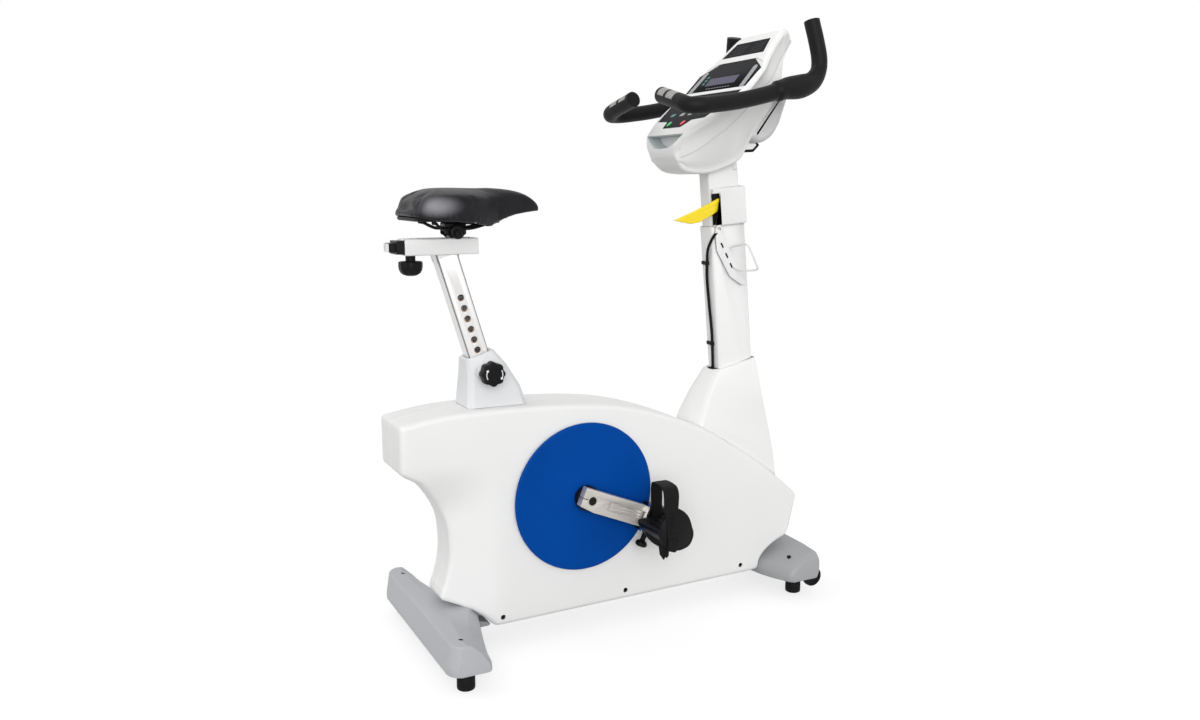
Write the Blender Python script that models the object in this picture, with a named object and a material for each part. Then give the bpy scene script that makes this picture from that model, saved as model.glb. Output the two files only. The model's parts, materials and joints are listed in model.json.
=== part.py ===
# Upright rehabilitation exercise bike, modelled as separate pieces in metres, +Z up.
# X runs forward from the saddle to the console, Y to the rider's left.
# Below the root empty, x = 0 is the crank axis, y = 0 the midplane and z = 0 the floor.
import math

import bpy
import bmesh
from mathutils import Matrix, Vector

# General clearances
gap = 0.0003
wall = 0.003

# Crank drive
crank_height = 0.330
crank_angle = math.radians(22.7)
crank_throw = 0.175
arm_half_width = 0.0255
arm_hub_half_width = 0.018
arm_inner_face = 0.104
arm_thickness = 0.020
arm_hub_overhang = 0.036
arm_end = 0.205
arm_groove_start = 0.045
arm_groove_half_width = 0.0105
arm_groove_depth = 0.009
arm_hole_pitch = 0.020
arm_hole_count = 5
arm_slit = 0.0016
disc_radius = 0.175
disc_thickness = 0.006
disc_face = 0.088
axle_radius = 0.0125
axle_end_radius = 0.010
neck_radius = 0.020
boss_radius = 0.025
bearing_radius = 0.0212
bearing_width = 0.012
bearing_inset = 0.001

# Pedals and their carriages
carriage_length = 0.056
carriage_half_height = 0.0345
carriage_plate = 0.010
carriage_lip = 0.0055
carriage_lip_reach = 0.009
spindle_radius = 0.008
pedal_length = 0.112
pedal_width = 0.088
pedal_top = 0.014
pedal_belly = 0.062
pedal_offset = 0.004
strap_rise = 0.088
strap_width = 0.036
strap_thickness = 0.003
strap_tail = 0.074
pin_radius = 0.004
pull_knob_radius = 0.014
pin_inset = 0.006
pin_depth = 0.006
pin_place = crank_throw - pin_inset
carriage_outer = arm_inner_face + arm_thickness + gap + carriage_plate

# Belt drive inside the housing
belt_centre = -0.051
belt_width = 0.012
belt_thickness = 0.003
belt_facet = 1.005
drive_pulley_radius = 0.128
small_pulley_radius = 0.024
idler_radius = 0.022
flywheel_radius = 0.108
flywheel_thickness = 0.026
flywheel_centre_y = -0.024
flywheel_place = (0.330, 0.245)
idler_place = (0.205, 0.222)
shaft_radius = 0.008

# Main frame
rail_half_width = 0.020
rail_bottom = 0.062
rail_height = 0.040
tube_wall = 0.003
post_half_depth = 0.022
post_half_width = 0.018
rear_beam_x = -0.347
front_beam_x = 0.588
beam_half_depth = 0.022
beam_beyond_foot = (0.009, 0.019)
shell_radius = 0.028
shell_half_length = 0.040

# Levelling feet and transport wheels
foot_inset = (0.0115, 0.030)
foot_radius = 0.019
foot_pad_height = 0.014
foot_stem_radius = 0.005
wheel_place = (0.624, 0.045)
wheel_radius = 0.026
wheel_width = 0.016
wheel_inner_y = 0.138
wheel_pin_radius = 0.004

# Beam covers
rear_cover_half_length = 0.252
front_cover_half_length = 0.168
cover_end_slope = 0.022
cover_bottom = 0.040
cover_wall = 0.005
cover_inner_share = 0.88
cover_rib_half = (0.012, 0.010)
cover_rib_inset = (0.020, 0.010)

# The covers' crowns, the feet and the beams' ends follow the covers' lengths
rear_cover_top_half_length = rear_cover_half_length - cover_end_slope
front_cover_top_half_length = front_cover_half_length - cover_end_slope
rear_foot_y = rear_cover_top_half_length - foot_inset[0]
front_foot_y = front_cover_top_half_length - foot_inset[1]
rear_beam_half_length = rear_foot_y + beam_beyond_foot[0]
front_beam_half_length = front_foot_y + beam_beyond_foot[1]

# Drive housing
housing_half_width = 0.078
housing_edge_depth = 0.014
housing_edge_inset = 0.012
housing_bottom = 0.052
tail_x = -0.430
tail_top = 0.539
tail_bottom = 0.432
nose_x = 0.624
nose_z = 0.247
screw_hole_radius = 0.005
neck_room = 0.006
screw_places = [(-0.205, 0.073), (0.112, 0.078), (0.448, 0.082)]

# Saddle post
post_tilt = math.radians(-17.0)
post_foot = (-0.229, 0.673)
post_depth = 0.050
post_width = 0.040
post_wall = 0.0025
post_chamfer = 0.005
post_below = 0.200
post_above = 0.2275
post_hole_radius = 0.006
post_hole_pitch = 0.0245
post_holes_above = 7
post_holes_below = 1
pin_level = -0.0395
bush_wall = 0.0019
sleeve_wall = 0.0035
sleeve_top = -0.010
lock_knob_radius = 0.026
lock_knob_length = 0.026
lock_pad_face = 0.0435

# Fore and aft slider
slider_rear = -0.391
slider_front = -0.227
slider_bottom = 0.894
slider_height = 0.035
slider_half_width = 0.028
carriage_bar_rear = -0.431
carriage_bar_front = -0.2535
slider_slot_half_width = 0.013
slider_slot = (-0.352, -0.238)
clamp_x = -0.275
clamp_z = 0.944
clamp_boss_radius = 0.011
slider_knob_x = -0.372
slider_knob_radius = 0.025

# Saddle: station x, half width, crown height, skirt height
saddle_stations = [
    (-0.393, 0.048, 0.998, 0.979),
    (-0.386, 0.078, 1.013, 0.975),
    (-0.370, 0.103, 1.024, 0.971),
    (-0.345, 0.119, 1.031, 0.968),
    (-0.315, 0.124, 1.034, 0.966),
    (-0.285, 0.118, 1.033, 0.964),
    (-0.257, 0.104, 1.030, 0.961),
    (-0.232, 0.085, 1.028, 0.955),
    (-0.212, 0.069, 1.028, 0.953),
    (-0.192, 0.056, 1.030, 0.960),
    (-0.168, 0.047, 1.031, 0.969),
    (-0.140, 0.040, 1.030, 0.977),
    (-0.112, 0.034, 1.023, 0.981),
    (-0.090, 0.026, 1.008, 0.984),
    (-0.077, 0.014, 0.992, 0.985),
]
saddle_floor = 0.9745
saddle_shell = 0.012
saddle_base_thickness = 0.008
rail_wire_radius = 0.0035
rail_wire_level = 0.949

# Mast
mast_tilt = math.radians(-5.34)
mast_foot = (0.456, 0.597)
lower_depth = 0.100
lower_width = 0.054
lower_bottom = -0.165
lower_top = 0.350
upper_depth = 0.092
upper_width = 0.046
upper_bottom = 0.180
upper_top = 0.556
mast_flange = 0.006
flange_margin = 0.006
stub_depth = 0.080
stub_width = 0.040
collar_top = 0.441
collar_lip = 0.0115
collar_half_width = 0.037
collar_cheek = 0.0035
collar_open = -0.026
lever_thickness = 0.0075
lever_pin_radius = 0.004
lever_pin_s = 0.405
lever_pin_t = -0.012

# Boots
seat_boot_half_width = 0.052
mast_boot_half_width = 0.063

# Console, in the midplane, and its half widths along the face
face_lower = (0.272, 1.174)
face_bend = (0.389, 1.263)
face_upper = (0.512, 1.394)
console_edge = 0.012
back_edge = 0.006
console_wall = 0.004
screen_start = 0.004
screen_shoulder = 0.066
screen_end = 0.102
screen_half_width = 0.129
screen_top_half_width = 0.072
screen_thickness = 0.0016
button_half_length = 0.009
button_half_width = 0.0055
button_travel = 0.0015
button_depth = 0.006
button_y = 0.030
button_along = 0.018
tray_depth = 0.026
tray_wall = 0.003

# Handlebar
cross_tube = (0.522, 1.258)
cross_tube_radius = 0.016
cross_tube_reach = 0.178
bar_overhang = 0.017
bar_side = cross_tube_reach + bar_overhang
pulse_radius = 0.0175
bar_radius = 0.0185
palm_radius = 0.027
horn_radius = 0.018
neck_half_width = 0.024
bracket_half_width = 0.034

# Cable and bottle holder
cable_radius = 0.0027
holder_tilt = math.radians(35.0)
holder_half_width = 0.0145
holder_half_length = 0.076
holder_thickness = 0.0025
hoop_radius = 0.0022

# The front cover's nose, and the middle of the bike between the seat bar and the wheels
front_end = 0.642
middle_x = (carriage_bar_rear + wheel_place[0] + wheel_radius) / 2

for old in list(bpy.data.objects):
    bpy.data.objects.remove(old, do_unlink=True)


def material(name, color, roughness, metallic=0.0):
    made = bpy.data.materials.new(name)
    made.use_nodes = True
    shader = made.node_tree.nodes["Principled BSDF"]
    shader.inputs["Base Color"].default_value = (*color, 1.0)
    shader.inputs["Roughness"].default_value = roughness
    shader.inputs["Metallic"].default_value = metallic
    return made


white_paint = material("white_paint", (0.86, 0.86, 0.85), 0.35)
white_plastic = material("white_plastic", (0.87, 0.87, 0.86), 0.42)
pale_grey_plastic = material("pale_grey_plastic", (0.62, 0.63, 0.65), 0.5)
black_plastic = material("black_plastic", (0.02, 0.02, 0.02), 0.45)
black_metal = material("black_metal", (0.02, 0.02, 0.02), 0.35)
screen_plastic = material("screen_plastic", (0.02, 0.03, 0.04), 0.2)
black_foam = material("black_foam", (0.015, 0.015, 0.015), 0.75)
black_rubber = material("black_rubber", (0.02, 0.02, 0.02), 0.8)
blue_plastic = material("blue_plastic", (0.005, 0.07, 0.40), 0.4)
frame_paint = material("frame_paint", (0.70, 0.70, 0.70), 0.4)
milled_alloy = material("milled_alloy", (0.80, 0.80, 0.78), 0.35, 1.0)
bright_steel = material("bright_steel", (0.70, 0.70, 0.70), 0.25, 1.0)
cast_steel = material("cast_steel", (0.25, 0.25, 0.26), 0.5, 1.0)
grey_vinyl = material("grey_vinyl", (0.05, 0.05, 0.055), 0.4)
yellow_plastic = material("yellow_plastic", (0.95, 0.70, 0.02), 0.4)
green_plastic = material("green_plastic", (0.0, 0.55, 0.12), 0.4)
red_plastic = material("red_plastic", (0.75, 0.02, 0.04), 0.4)


def pivot(name, parent=None, at=(0, 0, 0), turn=0.0):
    empty = bpy.data.objects.new(name, None)
    bpy.context.scene.collection.objects.link(empty)
    empty.parent = parent
    empty.location = at
    empty.rotation_euler = (0, turn, 0)
    return empty


def solid(name, body, shape, finish=None, smooth=None):
    vertices, faces = shape
    mesh = bpy.data.meshes.new(name)
    mesh.from_pydata([tuple(v) for v in vertices], [], faces)
    work = bmesh.new()
    work.from_mesh(mesh)
    bmesh.ops.recalc_face_normals(work, faces=work.faces)
    work.to_mesh(mesh)
    work.free()
    made = bpy.data.objects.new(name, mesh)
    bpy.context.scene.collection.objects.link(made)
    made.parent = body
    if finish:
        mesh.materials.append(finish)
    if smooth:
        mesh.shade_smooth()
        mesh.set_sharp_from_angle(angle=math.radians(smooth))
    return made


def guide(name, body, shape):
    made = solid(name, body, shape)
    made.hide_render = True
    made.display_type = "WIRE"
    return made


def combine(target, operation, *others):
    for other in others:
        step = target.modifiers.new(operation.lower() + "_" + other.name, "BOOLEAN")
        step.operation = operation
        step.solver = "EXACT"
        step.object = other
        other.hide_render = True
        other.display_type = "WIRE"


def cut(target, *others):
    combine(target, "DIFFERENCE", *others)


def unite(target, *others):
    combine(target, "UNION", *others)


def soften(target, width, segments=1, angle=40.0):
    step = target.modifiers.new("edges", "BEVEL")
    step.width = width
    step.segments = segments
    step.limit_method = "ANGLE"
    step.angle_limit = math.radians(angle)


def block(x0, x1, y0, y1, z0, z1):
    corners = [(x, y, z) for z in (z0, z1) for y in (y0, y1) for x in (x0, x1)]
    faces = [(0, 2, 3, 1), (4, 5, 7, 6), (0, 1, 5, 4), (2, 6, 7, 3), (0, 4, 6, 2), (1, 3, 7, 5)]
    return corners, faces


def loft(rings, closed=False):
    count = len(rings[0])
    vertices = [point for ring in rings for point in ring]
    faces = []
    spans = len(rings) if closed else len(rings) - 1
    for r in range(spans):
        a = r * count
        b = (r + 1) % len(rings) * count
        faces += [(a + k, a + (k + 1) % count, b + (k + 1) % count, b + k) for k in range(count)]
    if not closed:
        faces.append(tuple(reversed(range(count))))
        faces.append(tuple(range(a + count, a + 2 * count)))
    return vertices, faces


def circle(radius, sides, start=0.0):
    return [(radius * math.cos(start + 2 * math.pi * k / sides),
             radius * math.sin(start + 2 * math.pi * k / sides)) for k in range(sides)]


def turned(profile, axis, centre=(0, 0, 0), sides=24, closed=False):
    # profile holds (radius, height along the axis)
    rings = []
    for radius, height in profile:
        ring = []
        for u, v in circle(radius, sides):
            local = {"x": (height, u, v), "y": (v, height, u), "z": (u, v, height)}[axis]
            ring.append(tuple(local[i] + centre[i] for i in range(3)))
        rings.append(ring)
    return loft(rings, closed)


def rod(radius, axis, centre, start, end, sides=20):
    return turned([(radius, start), (radius, end)], axis, centre, sides)


def slab(outline, y0, y1):
    return loft([[(x, y, z) for x, z in outline] for y in (y0, y1)])


def inset(outline, distance):
    # moves each point of a closed x, z outline inwards along its mean normal
    count = len(outline)
    area = sum(outline[k][0] * outline[(k + 1) % count][1] - outline[(k + 1) % count][0] * outline[k][1]
               for k in range(count))
    sign = 1 if area > 0 else -1
    moved = []
    for k in range(count):
        before, here, after = (Vector(outline[(k + i) % count]) for i in (-1, 0, 1))
        first = (here - before).normalized()
        second = (after - here).normalized()
        normal = Vector((-first.y, first.x)) + Vector((-second.y, second.x))
        normal.normalize()
        reach = distance / max(0.5, normal.dot(Vector((-first.y, first.x))))
        moved.append((here.x + sign * normal.x * reach, here.y + sign * normal.y * reach))
    return moved


def smooth(points, steps):
    # an open curve through the points, without its last point
    padded = [points[0], *points, points[-1]]
    result = []
    for k in range(1, len(padded) - 2):
        a, b, c, d = (Vector(p) for p in padded[k - 1:k + 3])
        for step in range(steps):
            t = step / steps
            place = 0.5 * (2 * b + (c - a) * t + (2 * a - 5 * b + 4 * c - d) * t ** 2
                           + (3 * b - a - 3 * c + d) * t ** 3)
            result.append(tuple(place))
    return result


def rectangle(half_x, half_y, chamfer=0.0, x=0.0):
    if not chamfer:
        return [(x - half_x, -half_y), (x + half_x, -half_y), (x + half_x, half_y), (x - half_x, half_y)]
    c = chamfer
    return [(x - half_x + c, -half_y), (x + half_x - c, -half_y), (x + half_x, -half_y + c),
            (x + half_x, half_y - c), (x + half_x - c, half_y), (x - half_x + c, half_y),
            (x - half_x, half_y - c), (x - half_x, -half_y + c)]


def level(outline, z):
    return [(x, y, z) for x, y in outline]


def box_tube(outer, inner, z0, z1):
    return loft([level(outer, z0), level(outer, z1), level(inner, z1), level(inner, z0)], closed=True)


def sweep(points, radii, sides=12):
    # a round bar of varying radius along a curve, with flat ends
    rings = []
    count = len(points)
    side = None
    for k in range(count):
        ahead = (Vector(points[min(k + 1, count - 1)]) - Vector(points[max(k - 1, 0)])).normalized()
        if side is None:
            side = ahead.orthogonal().normalized()
        side = (side - ahead * side.dot(ahead)).normalized()
        up = ahead.cross(side)
        rings.append([tuple(Vector(points[k]) + side * u + up * v) for u, v in circle(radii[k], sides)])
    return loft(rings)


def wire(name, body, points, radius, finish, resolution=2):
    curve = bpy.data.curves.new(name, "CURVE")
    curve.dimensions = "3D"
    curve.bevel_depth = radius
    curve.bevel_resolution = resolution
    curve.use_fill_caps = True
    spline = curve.splines.new("POLY")
    spline.points.add(len(points) - 1)
    for k, point in enumerate(points):
        spline.points[k].co = (*point, 1.0)
    curve.materials.append(finish)
    made = bpy.data.objects.new(name, curve)
    bpy.context.scene.collection.objects.link(made)
    made.parent = body
    return made


def tangent(first, second):
    # the straight belt run between two pulleys, each (x, z, radius, turning sense)
    a = Vector(first[:2])
    b = Vector(second[:2])
    along = b - a
    lean = (first[2] * first[3] - second[2] * second[3]) / along.length
    along.normalize()
    normal = along * lean + Vector((-along.y, along.x)) * math.sqrt(1 - lean ** 2)
    return a + normal * first[2] * first[3], b + normal * second[2] * second[3]


def belt_outline(pulleys, steps):
    count = len(pulleys)
    runs = [tangent(pulleys[k], pulleys[(k + 1) % count]) for k in range(count)]
    outline = []
    for k, (x, z, radius, sense) in enumerate(pulleys):
        centre = Vector((x, z))
        enter = runs[k - 1][1] - centre
        leave = runs[k][0] - centre
        start = math.atan2(enter.y, enter.x)
        end = math.atan2(leave.y, leave.x)
        swing = (start - end) % (2 * math.pi) if sense > 0 else -((end - start) % (2 * math.pi))
        for step in range(steps[k] + 1):
            angle = start - swing * step / steps[k]
            outline.append((x + radius * math.cos(angle), z + radius * math.sin(angle)))
    return outline


# Bodies: each empty stands on its body's joint axis
root = pivot("bike", at=(-middle_x, 0, 0))
crank = pivot("crank", root, (0, 0, crank_height))
arm_frames = {"right": pivot("right_arm", crank, turn=crank_angle),
              "left": pivot("left_arm", crank, turn=crank_angle + math.pi)}
flywheel_body = pivot("flywheel_spin", root, (flywheel_place[0], 0, flywheel_place[1]))
idler_body = pivot("idler_spin", root, (idler_place[0], 0, idler_place[1]))
post_frame = pivot("post_frame", root, (post_foot[0], 0, post_foot[1]), post_tilt)
seat = pivot("seat_height", post_frame)
# The slider box is fixed to the post's head, but its sides run level
seat_slider_frame = pivot("seat_slider_frame", root)
seat_slide = pivot("seat_slide", root)
saddle_tilt = pivot("saddle_tilt", root, (clamp_x, 0, clamp_z))
mast_frame = pivot("mast_frame", root, (mast_foot[0], 0, mast_foot[1]), mast_tilt)
upper = pivot("mast_slide", mast_frame)
console = pivot("console", root)
sides = {"right": -1, "left": 1}

# Main frame
rail_top = rail_bottom + rail_height
rail_middle = rail_bottom + rail_height / 2
beam_top = rail_top - 0.004
beam_bottom = rail_bottom - 0.004
sleeve_inner_depth = post_depth / 2 + gap + bush_wall + gap
sleeve_inner_width = post_width / 2 + gap + bush_wall + gap
sleeve_outer_depth = sleeve_inner_depth + sleeve_wall
sleeve_outer_width = sleeve_inner_width + sleeve_wall
stub_flange_top = lower_bottom - mast_flange - gap


def frame_along(tilt, foot, z):
    # distance along a tilted tube's axis at the height z
    return (z - foot[1]) / math.cos(tilt)


def make_main_frame():
    frame = solid("main_frame", root, block(rear_beam_x, front_beam_x, -rail_half_width, rail_half_width,
                                            rail_bottom, rail_top), frame_paint)
    rear = guide("frame_rear_beam", root, block(
        rear_beam_x - beam_half_depth, rear_beam_x + beam_half_depth,
        -rear_beam_half_length, rear_beam_half_length, beam_bottom, beam_top))
    front = guide("frame_front_beam", root, block(
        front_beam_x - beam_half_depth, front_beam_x + beam_half_depth,
        -front_beam_half_length, front_beam_half_length, beam_bottom, beam_top))
    post = guide("frame_crank_post", root, block(
        -post_half_depth, post_half_depth, -post_half_width, post_half_width, rail_middle, crank_height))
    shell = guide("frame_crank_shell", root, rod(shell_radius, "y", (0, 0, crank_height),
                                                 -shell_half_length, shell_half_length, 20))
    brace = guide("frame_brace", root, block(-0.125, -0.010, -0.015, 0.015,
                                             crank_height - 0.016, crank_height + 0.016))
    sleeve = guide("frame_sleeve", post_frame, block(
        -sleeve_outer_depth, sleeve_outer_depth, -sleeve_outer_width, sleeve_outer_width,
        frame_along(post_tilt, post_foot, rail_middle), sleeve_top))
    stub = guide("frame_mast_stub", mast_frame, block(
        -stub_depth / 2, stub_depth / 2, -stub_width / 2, stub_width / 2,
        frame_along(mast_tilt, mast_foot, rail_middle), stub_flange_top - mast_flange / 2))
    flange = guide("frame_mast_flange", mast_frame, block(
        -lower_depth / 2 - flange_margin, lower_depth / 2 + flange_margin,
        -lower_width / 2 - flange_margin, lower_width / 2 + flange_margin,
        stub_flange_top - mast_flange, stub_flange_top))
    unite(frame, rear, front, post, shell, brace, sleeve, stub, flange)
    for label, (x, z) in (("flywheel", flywheel_place), ("idler", idler_place)):
        plate = guide("frame_" + label + "_plate", root, block(
            x - 0.016, x + 0.016, rail_half_width - 0.014, rail_half_width - 0.006, rail_middle, z + 0.016))
        end = belt_centre - belt_width / 2 - 0.004
        shaft = guide("frame_" + label + "_shaft", root, rod(shaft_radius, "y", (x, 0, z),
                                                             end, rail_half_width - 0.008, 16))
        unite(frame, plate, shaft)
    for side, sign in sides.items():
        inner = sign * (wheel_inner_y - 0.005)
        outer = sign * (wheel_inner_y - 0.001)
        lug = guide("frame_" + side + "_wheel_lug", root, slab(
            [(front_beam_x, beam_top - 0.004), (front_beam_x, beam_bottom + 0.002),
             (wheel_place[0] - 0.007, wheel_place[1] - 0.007), (wheel_place[0] + 0.007, wheel_place[1] - 0.007),
             (wheel_place[0] + 0.007, wheel_place[1] + 0.007)],
            min(inner, outer), max(inner, outer)))
        ends = sorted((sign * (wheel_inner_y - 0.003), sign * (wheel_inner_y + wheel_width + 0.003)))
        pin = guide("frame_" + side + "_wheel_pin", root, rod(
            wheel_pin_radius, "y", (wheel_place[0], 0, wheel_place[1]), *ends, 12))
        unite(frame, lug, pin)
    hollow = guide("cut_sleeve", post_frame, block(
        -sleeve_inner_depth, sleeve_inner_depth, -sleeve_inner_width, sleeve_inner_width,
        -0.420, sleeve_top + 0.01))
    bore = guide("cut_crank_shell", root, rod(bearing_radius + gap, "y", (0, 0, crank_height),
                                              -shell_half_length - 0.01, shell_half_length + 0.01, 20))
    pin_hole = guide("cut_pin_hole", post_frame, rod(
        post_hole_radius + gap, "y", (0, 0, pin_level), -sleeve_outer_width - 0.01, 0, 16))
    tubes = [guide("cut_rail_bore", root, block(
        rear_beam_x, front_beam_x, tube_wall - rail_half_width, rail_half_width - tube_wall,
        rail_bottom + tube_wall, rail_top - tube_wall))]
    for label, x in (("rear", rear_beam_x), ("front", front_beam_x)):
        tubes.append(guide("cut_" + label + "_beam_bore", root, block(
            x - beam_half_depth + tube_wall, x + beam_half_depth - tube_wall, -0.3, 0.3,
            beam_bottom + tube_wall, beam_top - tube_wall)))
    tubes.append(guide("cut_crank_post_bore", root, block(
        tube_wall - post_half_depth, post_half_depth - tube_wall, tube_wall - post_half_width,
        post_half_width - tube_wall, rail_middle, crank_height - shell_radius - 0.004)))
    tubes.append(guide("cut_stub_bore", mast_frame, block(
        tube_wall - stub_depth / 2, stub_depth / 2 - tube_wall, tube_wall - stub_width / 2,
        stub_width / 2 - tube_wall, frame_along(mast_tilt, mast_foot, rail_middle), stub_flange_top + 0.01)))
    cut(frame, hollow, bore, pin_hole, *tubes)
    for label, x, reach in (("rear", rear_beam_x, rear_foot_y), ("front", front_beam_x, front_foot_y)):
        for side, sign in sides.items():
            hole = guide("cut_" + label + "_" + side + "_foot", root, rod(
                foot_stem_radius + gap * 2, "z", (x, sign * reach, 0), beam_bottom - 0.01,
                beam_top - 0.006, 8))
            cut(frame, hole)
    return frame


def make_feet():
    for label, x, reach in (("rear", rear_beam_x, rear_foot_y), ("front", front_beam_x, front_foot_y)):
        for side, sign in sides.items():
            body = pivot(label + "_" + side + "_foot_slide", root, (x, sign * reach, 0))
            profile = [(foot_radius, 0), (foot_radius, foot_pad_height * 0.55),
                       (foot_radius * 0.62, foot_pad_height), (foot_stem_radius * 1.9, foot_pad_height + 0.002),
                       (foot_stem_radius * 1.9, foot_pad_height + 0.009),
                       (foot_stem_radius, foot_pad_height + 0.009), (foot_stem_radius, beam_top - 0.007)]
            solid(label + "_" + side + "_foot", body, turned(profile, "z", sides=12), black_rubber, 40)


def make_wheels():
    for side, sign in sides.items():
        body = pivot(side + "_wheel_spin", root, (wheel_place[0], sign * wheel_inner_y, wheel_place[1]))
        bore = wheel_pin_radius + gap
        start = gap
        end = wheel_width
        profile = [(bore, start), (wheel_radius - 0.004, start), (wheel_radius, start + 0.003),
                   (wheel_radius, end - 0.003), (wheel_radius - 0.004, end), (wheel_radius - 0.008, end - 0.003),
                   (0.010, end - 0.003), (0.010, end), (bore, end)]
        solid(side + "_transport_wheel", body, turned([(r, sign * h) for r, h in profile], "y",
                                                      sides=16, closed=True), black_plastic, 40)


# Beam covers: a moulded shell open below, over each cross beam
rear_cover_section = [(-0.391, cover_bottom), (-0.3915, 0.057), (-0.3755, 0.1015), (-0.350, 0.1085),
                      (-0.318, 0.1045), (-0.292, 0.085), (-0.281, 0.058), (-0.280, cover_bottom)]
front_cover_section = [(0.512, cover_bottom + 0.006), (0.516, 0.070), (0.529, 0.090), (0.552, 0.107),
                       (0.585, 0.117), (0.603, 0.120), (0.618, 0.122), (0.632, 0.100), (front_end, 0.070),
                       (0.636, cover_bottom + 0.006)]


def cover_rings(section, full, top, floor):
    # the ends slope: the crown stops at top, the foot of the cover at full
    highest = max(z for x, z in section)
    rings = []
    for sign in (-1, 1):
        end = []
        for x, z in section:
            rise = (z - floor) / (highest - floor)
            end.append((x, sign * (full + (top - full) * max(0.0, rise) ** 1.3), z))
        rings.append(end)
    return rings


def crown_at(section, x):
    for (a, low), (b, high) in zip(section, section[1:]):
        if a <= x <= b:
            return low + (high - low) * (x - a) / (b - a)
    return section[0][1]


def make_cover(name, section, full, top, beam_x, rail_side, hole_y):
    floor = min(z for x, z in section)
    cover = solid(name, root, loft(cover_rings(section, full, top, floor)), pale_grey_plastic)
    soften(cover, 0.0035, 2)
    centre = sum(x for x, z in section) / len(section)
    inner = [(centre + (x - centre) * cover_inner_share, floor - 0.01 if z < floor + 0.002 else z - wall)
             for x, z in section]
    hollow = guide("cut_" + name, root, loft(cover_rings(inner, full - cover_wall, top - cover_wall,
                                                               floor)))
    cut(cover, hollow)
    opening = sorted((beam_x, beam_x + rail_side * 0.2))
    rail = guide("cut_rail_" + name, root, block(
        *opening, -rail_half_width - gap, rail_half_width + gap, floor - 0.01, rail_top + gap))
    cut(cover, rail)
    for side, sign in sides.items():
        seat_block = guide("rib_" + name + "_" + side, root, block(
            beam_x - cover_rib_half[0], beam_x + cover_rib_half[0], sign * hole_y - cover_rib_half[1],
            sign * hole_y + cover_rib_half[1],
            beam_top + gap, crown_at(section, beam_x) - wall / 2))
        unite(cover, seat_block)
    return cover


def make_covers():
    make_cover("rear_beam_cover", rear_cover_section, rear_cover_half_length, rear_cover_top_half_length,
               rear_beam_x, 1, rear_foot_y - cover_rib_inset[0])
    front = make_cover("front_beam_cover", front_cover_section, front_cover_half_length,
                       front_cover_top_half_length, front_beam_x, -1, front_foot_y - cover_rib_inset[1])
    for side, sign in sides.items():
        ys = sorted((sign * (wheel_inner_y - 0.008), sign * (wheel_inner_y + wheel_width + 0.005)))
        well = guide("cut_" + side + "_wheel_well", root, slab(
            [(wheel_place[0] + (wheel_radius + 0.003) * u, wheel_place[1] + (wheel_radius + 0.003) * v)
             for u, v in circle(1.0, 16)], *ys))
        cut(front, well)


# Drive housing: one outline, two shells that meet in the midplane
top_curve = smooth([(tail_x, tail_top), (-0.300, 0.555), (-0.090, 0.553), (0.110, 0.531), (0.292, 0.472),
                    (0.415, 0.404), (0.520, 0.333), (nose_x, nose_z)], 3)
arch_curve = smooth([(0.599, 0.144), (0.560, 0.136), (0.528, 0.114), (0.511, 0.085), (0.507, 0.060)], 2)
rear_curve = smooth([(-0.360, 0.153), (-0.340, 0.190), (-0.328, 0.240), (-0.331, 0.300), (-0.352, 0.355),
                     (-0.388, 0.405)], 2)
housing_outline = (top_curve + [(nose_x, nose_z), (0.606, 0.165)] + arch_curve
                   + [(0.507, 0.060), (0.480, housing_bottom + 0.006), (-0.222, housing_bottom),
                      (-0.245, 0.080), (-0.268, 0.101), (-0.300, 0.117)]
                   + rear_curve + [(-0.388, 0.405), (tail_x, tail_bottom)])


def make_housing():
    half = housing_half_width
    start = half - housing_edge_depth
    outer = [(gap / 2, 0.0)]
    for step in range(3):
        turn = math.radians(45 * step)
        outer.append((start + housing_edge_depth * math.sin(turn),
                      housing_edge_inset * (1 - math.cos(turn))))
    inner = [(half - wall, housing_edge_inset), (start, wall), (gap / 2, wall)]
    openings = make_housing_cutters()
    for side, sign in sides.items():
        rings = [[(x, sign * y, z) for x, z in inset(housing_outline, depth)] for y, depth in outer + inner]
        vertices, faces = loft(rings)
        count = len(housing_outline)
        faces = faces[:-2]
        last = (len(rings) - 1) * count
        faces += [(k, (k + 1) % count, last + (k + 1) % count, last + k) for k in range(count)]
        flat = len(outer) - 1
        ring_faces = [f for f in faces if not (min(f) // count == flat and max(f) // count == flat + 1)]
        ring_faces += [tuple(range(flat * count, (flat + 1) * count)),
                       tuple(range((flat + 1) * count, (flat + 2) * count))]
        shell = solid(side + "_housing", root, (vertices, ring_faces), white_plastic, 35)
        cut(shell, *openings)


def make_housing_cutters():
    # the walls are open round the crank neck, the two tubes, the rail and the screws
    cutters = [guide("cut_housing_crank", root, rod(neck_radius + neck_room, "y", (0, 0, crank_height),
                                                    -0.1, 0.1, 24))]
    cutters.append(guide("cut_housing_sleeve", post_frame, block(
        -sleeve_outer_depth - gap, sleeve_outer_depth + gap, -sleeve_outer_width - gap,
        sleeve_outer_width + gap, -0.20, 0.02)))
    cutters.append(guide("cut_housing_stub", mast_frame, block(
        -stub_depth / 2 - gap, stub_depth / 2 + gap, -stub_width / 2 - gap, stub_width / 2 + gap,
        frame_along(mast_tilt, mast_foot, rail_middle), -0.10)))
    cutters.append(guide("cut_housing_rail", root, block(
        rear_beam_x, front_beam_x, -rail_half_width - gap, rail_half_width + gap,
        rail_bottom - gap, rail_top + gap)))
    for k, (x, z) in enumerate(screw_places):
        cutters.append(guide("cut_housing_screw_%d" % k, root, rod(
            screw_hole_radius, "y", (x, 0, z), -0.1, 0.1, 8)))
    return cutters


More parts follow.
